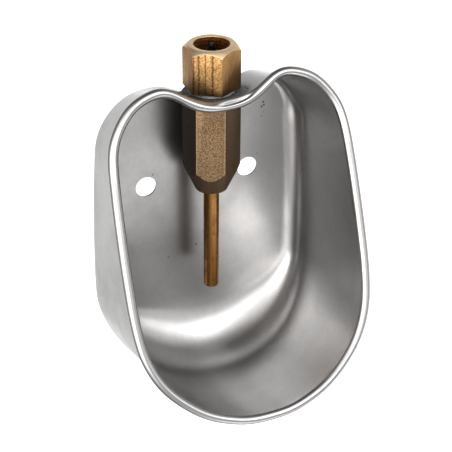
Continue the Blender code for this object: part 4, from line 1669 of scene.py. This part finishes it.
@dataclass(frozen=True)
class SoftLight:
    """One soft patch of the light round the bowl.

    Its azimuth is 0 in front of the bowl and positive to its right, both angles are in degrees, and
    a higher sharpness makes the patch smaller.
    """

    azimuth: float
    elevation: float
    strength: float
    sharpness: float

    def way(self) -> Place:
        """Direction from the bowl to the light."""
        turn, rise = math.radians(self.azimuth), math.radians(self.elevation)
        return (math.sin(turn) * math.cos(rise), -math.cos(turn) * math.cos(rise), math.sin(rise))


@dataclass
class Studio:
    """Camera, soft lights, white surroundings and the pale floor."""

    azimuth: float = math.radians(24.22)
    elevation: float = math.radians(30.59)
    roll: float = math.radians(0.50)
    camera_place: Place = (-248.1 * MM, -592.6 * MM, 346.9 * MM)
    lens: float = 103.19
    sensor: float = 36.0
    floor_z: float = -0.75
    all_round: float = 0.02
    exposure: float = 0.72
    contrast: float = 1.38
    lights: tuple[SoftLight, ...] = tuple(SoftLight(*row) for row in (   # in the order of its fields
        (13.0, 31.0, 1.32, 18.0), (33.0, 20.0, 1.08, 18.0), (25.0, 51.0, 0.78, 18.0),
        (-40.0, 35.0, 0.52, 9.0), (-52.0, 18.0, 0.99, 4.5), (-32.0, 8.0, 0.96, 18.0),
        (-65.0, 2.0, 0.74, 9.0), (-45.0, -8.0, 0.73, 18.0), (-77.0, -14.0, 0.29, 9.0),
        (16.0, -39.0, 0.92, 18.0), (3.0, -65.0, 0.60, 13.0), (98.0, 34.0, 0.37, 18.0),
        (85.0, 16.0, 0.16, 18.0), (79.0, -30.0, 0.95, 9.0), (145.0, -13.0, 0.45, 4.5),
        (166.0, -23.0, 0.63, 2.2), (-174.0, -34.0, 0.14, 18.0),
    ))

    def camera(self) -> None:
        """Stand the camera where the photograph was taken."""
        data = bpy.data.cameras.new("camera")
        data.lens = self.lens
        data.sensor_width = self.sensor
        data.sensor_fit = "HORIZONTAL"
        data.clip_start = 0.05
        made = bpy.data.objects.new("camera", data)
        bpy.context.scene.collection.objects.link(made)
        made.matrix_world = (
            Matrix.Translation(self.camera_place)
            @ Matrix.Rotation(-self.azimuth, 4, "Z")
            @ Matrix.Rotation(math.pi / 2 - self.elevation, 4, "X")
            @ Matrix.Rotation(self.roll, 4, "Z"))
        bpy.context.scene.camera = made

    @staticmethod
    def patch_group() -> Tree:
        """Node group of one soft patch of light, brightest in one direction.

        Returns:
            The node group.
        """
        graph = EffectGroup("soft_light_patch", {"Vector": "Vector", "Way": "Vector", "Strength": 1.0,
                                                 "Sharpness": 10.0}, "Light")
        given = graph.given
        apart = graph.maths("SUBTRACT", graph.vectors("DOT_PRODUCT", given["Vector"], given["Way"]), 1.0)
        fall = graph.maths("EXPONENT", graph.maths("MULTIPLY", apart, given["Sharpness"]))
        return graph.close(graph.maths("MULTIPLY", fall, given["Strength"]))

    def surroundings(self) -> None:
        """White to the camera, and a room of soft lights to everything that reflects it."""
        world = bpy.data.worlds.new("studio")
        world.use_nodes = True
        bpy.context.scene.world = world
        world.node_tree.nodes.clear()
        graph = Graph(world.node_tree)
        path = graph.node("ShaderNodeLightPath")
        way = graph.node("ShaderNodeTexCoord").outputs["Generated"]
        group = self.patch_group()
        total = self.all_round
        for light in self.lights:
            patch = graph.place(group, Vector=way, Way=light.way(), Strength=light.strength,
                                Sharpness=light.sharpness)
            total = graph.maths("ADD", patch, total)
        seen = graph.node("ShaderNodeBackground", Color=(1, 1, 1, 1), Strength=1.0)
        felt = graph.node("ShaderNodeBackground", Color=(1, 1, 1, 1), Strength=total)
        both = graph.node("ShaderNodeMixShader")
        graph.feed(both.inputs[0], path.outputs["Is Camera Ray"])
        graph.feed(both.inputs[1], felt.outputs[0])
        graph.feed(both.inputs[2], seen.outputs[0])
        leave = graph.node("ShaderNodeOutputWorld")
        graph.feed(leave.inputs["Surface"], both.outputs[0])

    def floor(self) -> None:
        """A plain pale floor far below the bowl, which hangs at its height on a wall."""
        bm = bmesh.new()
        bmesh.ops.create_grid(bm, x_segments=1, y_segments=1, size=12.0)
        bmesh.ops.translate(bm, verts=bm.verts, vec=(0, 0, self.floor_z))
        mesh = bpy.data.meshes.new("floor")
        bm.to_mesh(mesh)
        bm.free()
        made = link_mesh("floor", mesh)
        material = bpy.data.materials.new("pale_floor")
        material.use_nodes = True
        material.node_tree.nodes.clear()
        graph = Graph(material.node_tree)
        seen = graph.node("ShaderNodeEmission", Color=(1, 1, 1, 1), Strength=1.0)
        leave = graph.node("ShaderNodeOutputMaterial")
        graph.feed(leave.inputs["Surface"], seen.outputs[0])
        mesh.materials.append(material)
        made.visible_diffuse = False
        made.visible_glossy = False
        made.visible_shadow = False

    def build(self) -> None:
        """Set up everything that isn't the bowl."""
        self.camera()
        self.surroundings()
        self.floor()
        view = bpy.context.scene.view_settings
        view.view_transform = "Standard"
        view.exposure = self.exposure
        view.gamma = 1.0 / self.contrast


def main() -> None:
    """Build every piece round the frame."""
    logging.basicConfig(level=logging.INFO, format="%(name)s: %(message)s")
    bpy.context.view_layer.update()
    finishes = Finishes()
    for part in (PressedBowl(), InletSocket(), ValveBody(), PushRod(), ClampedRings(),
                 InletStrainer(), SpringTrain()):
        part.build(finishes)
    Studio().build()


if __name__ == "__main__":
    main()
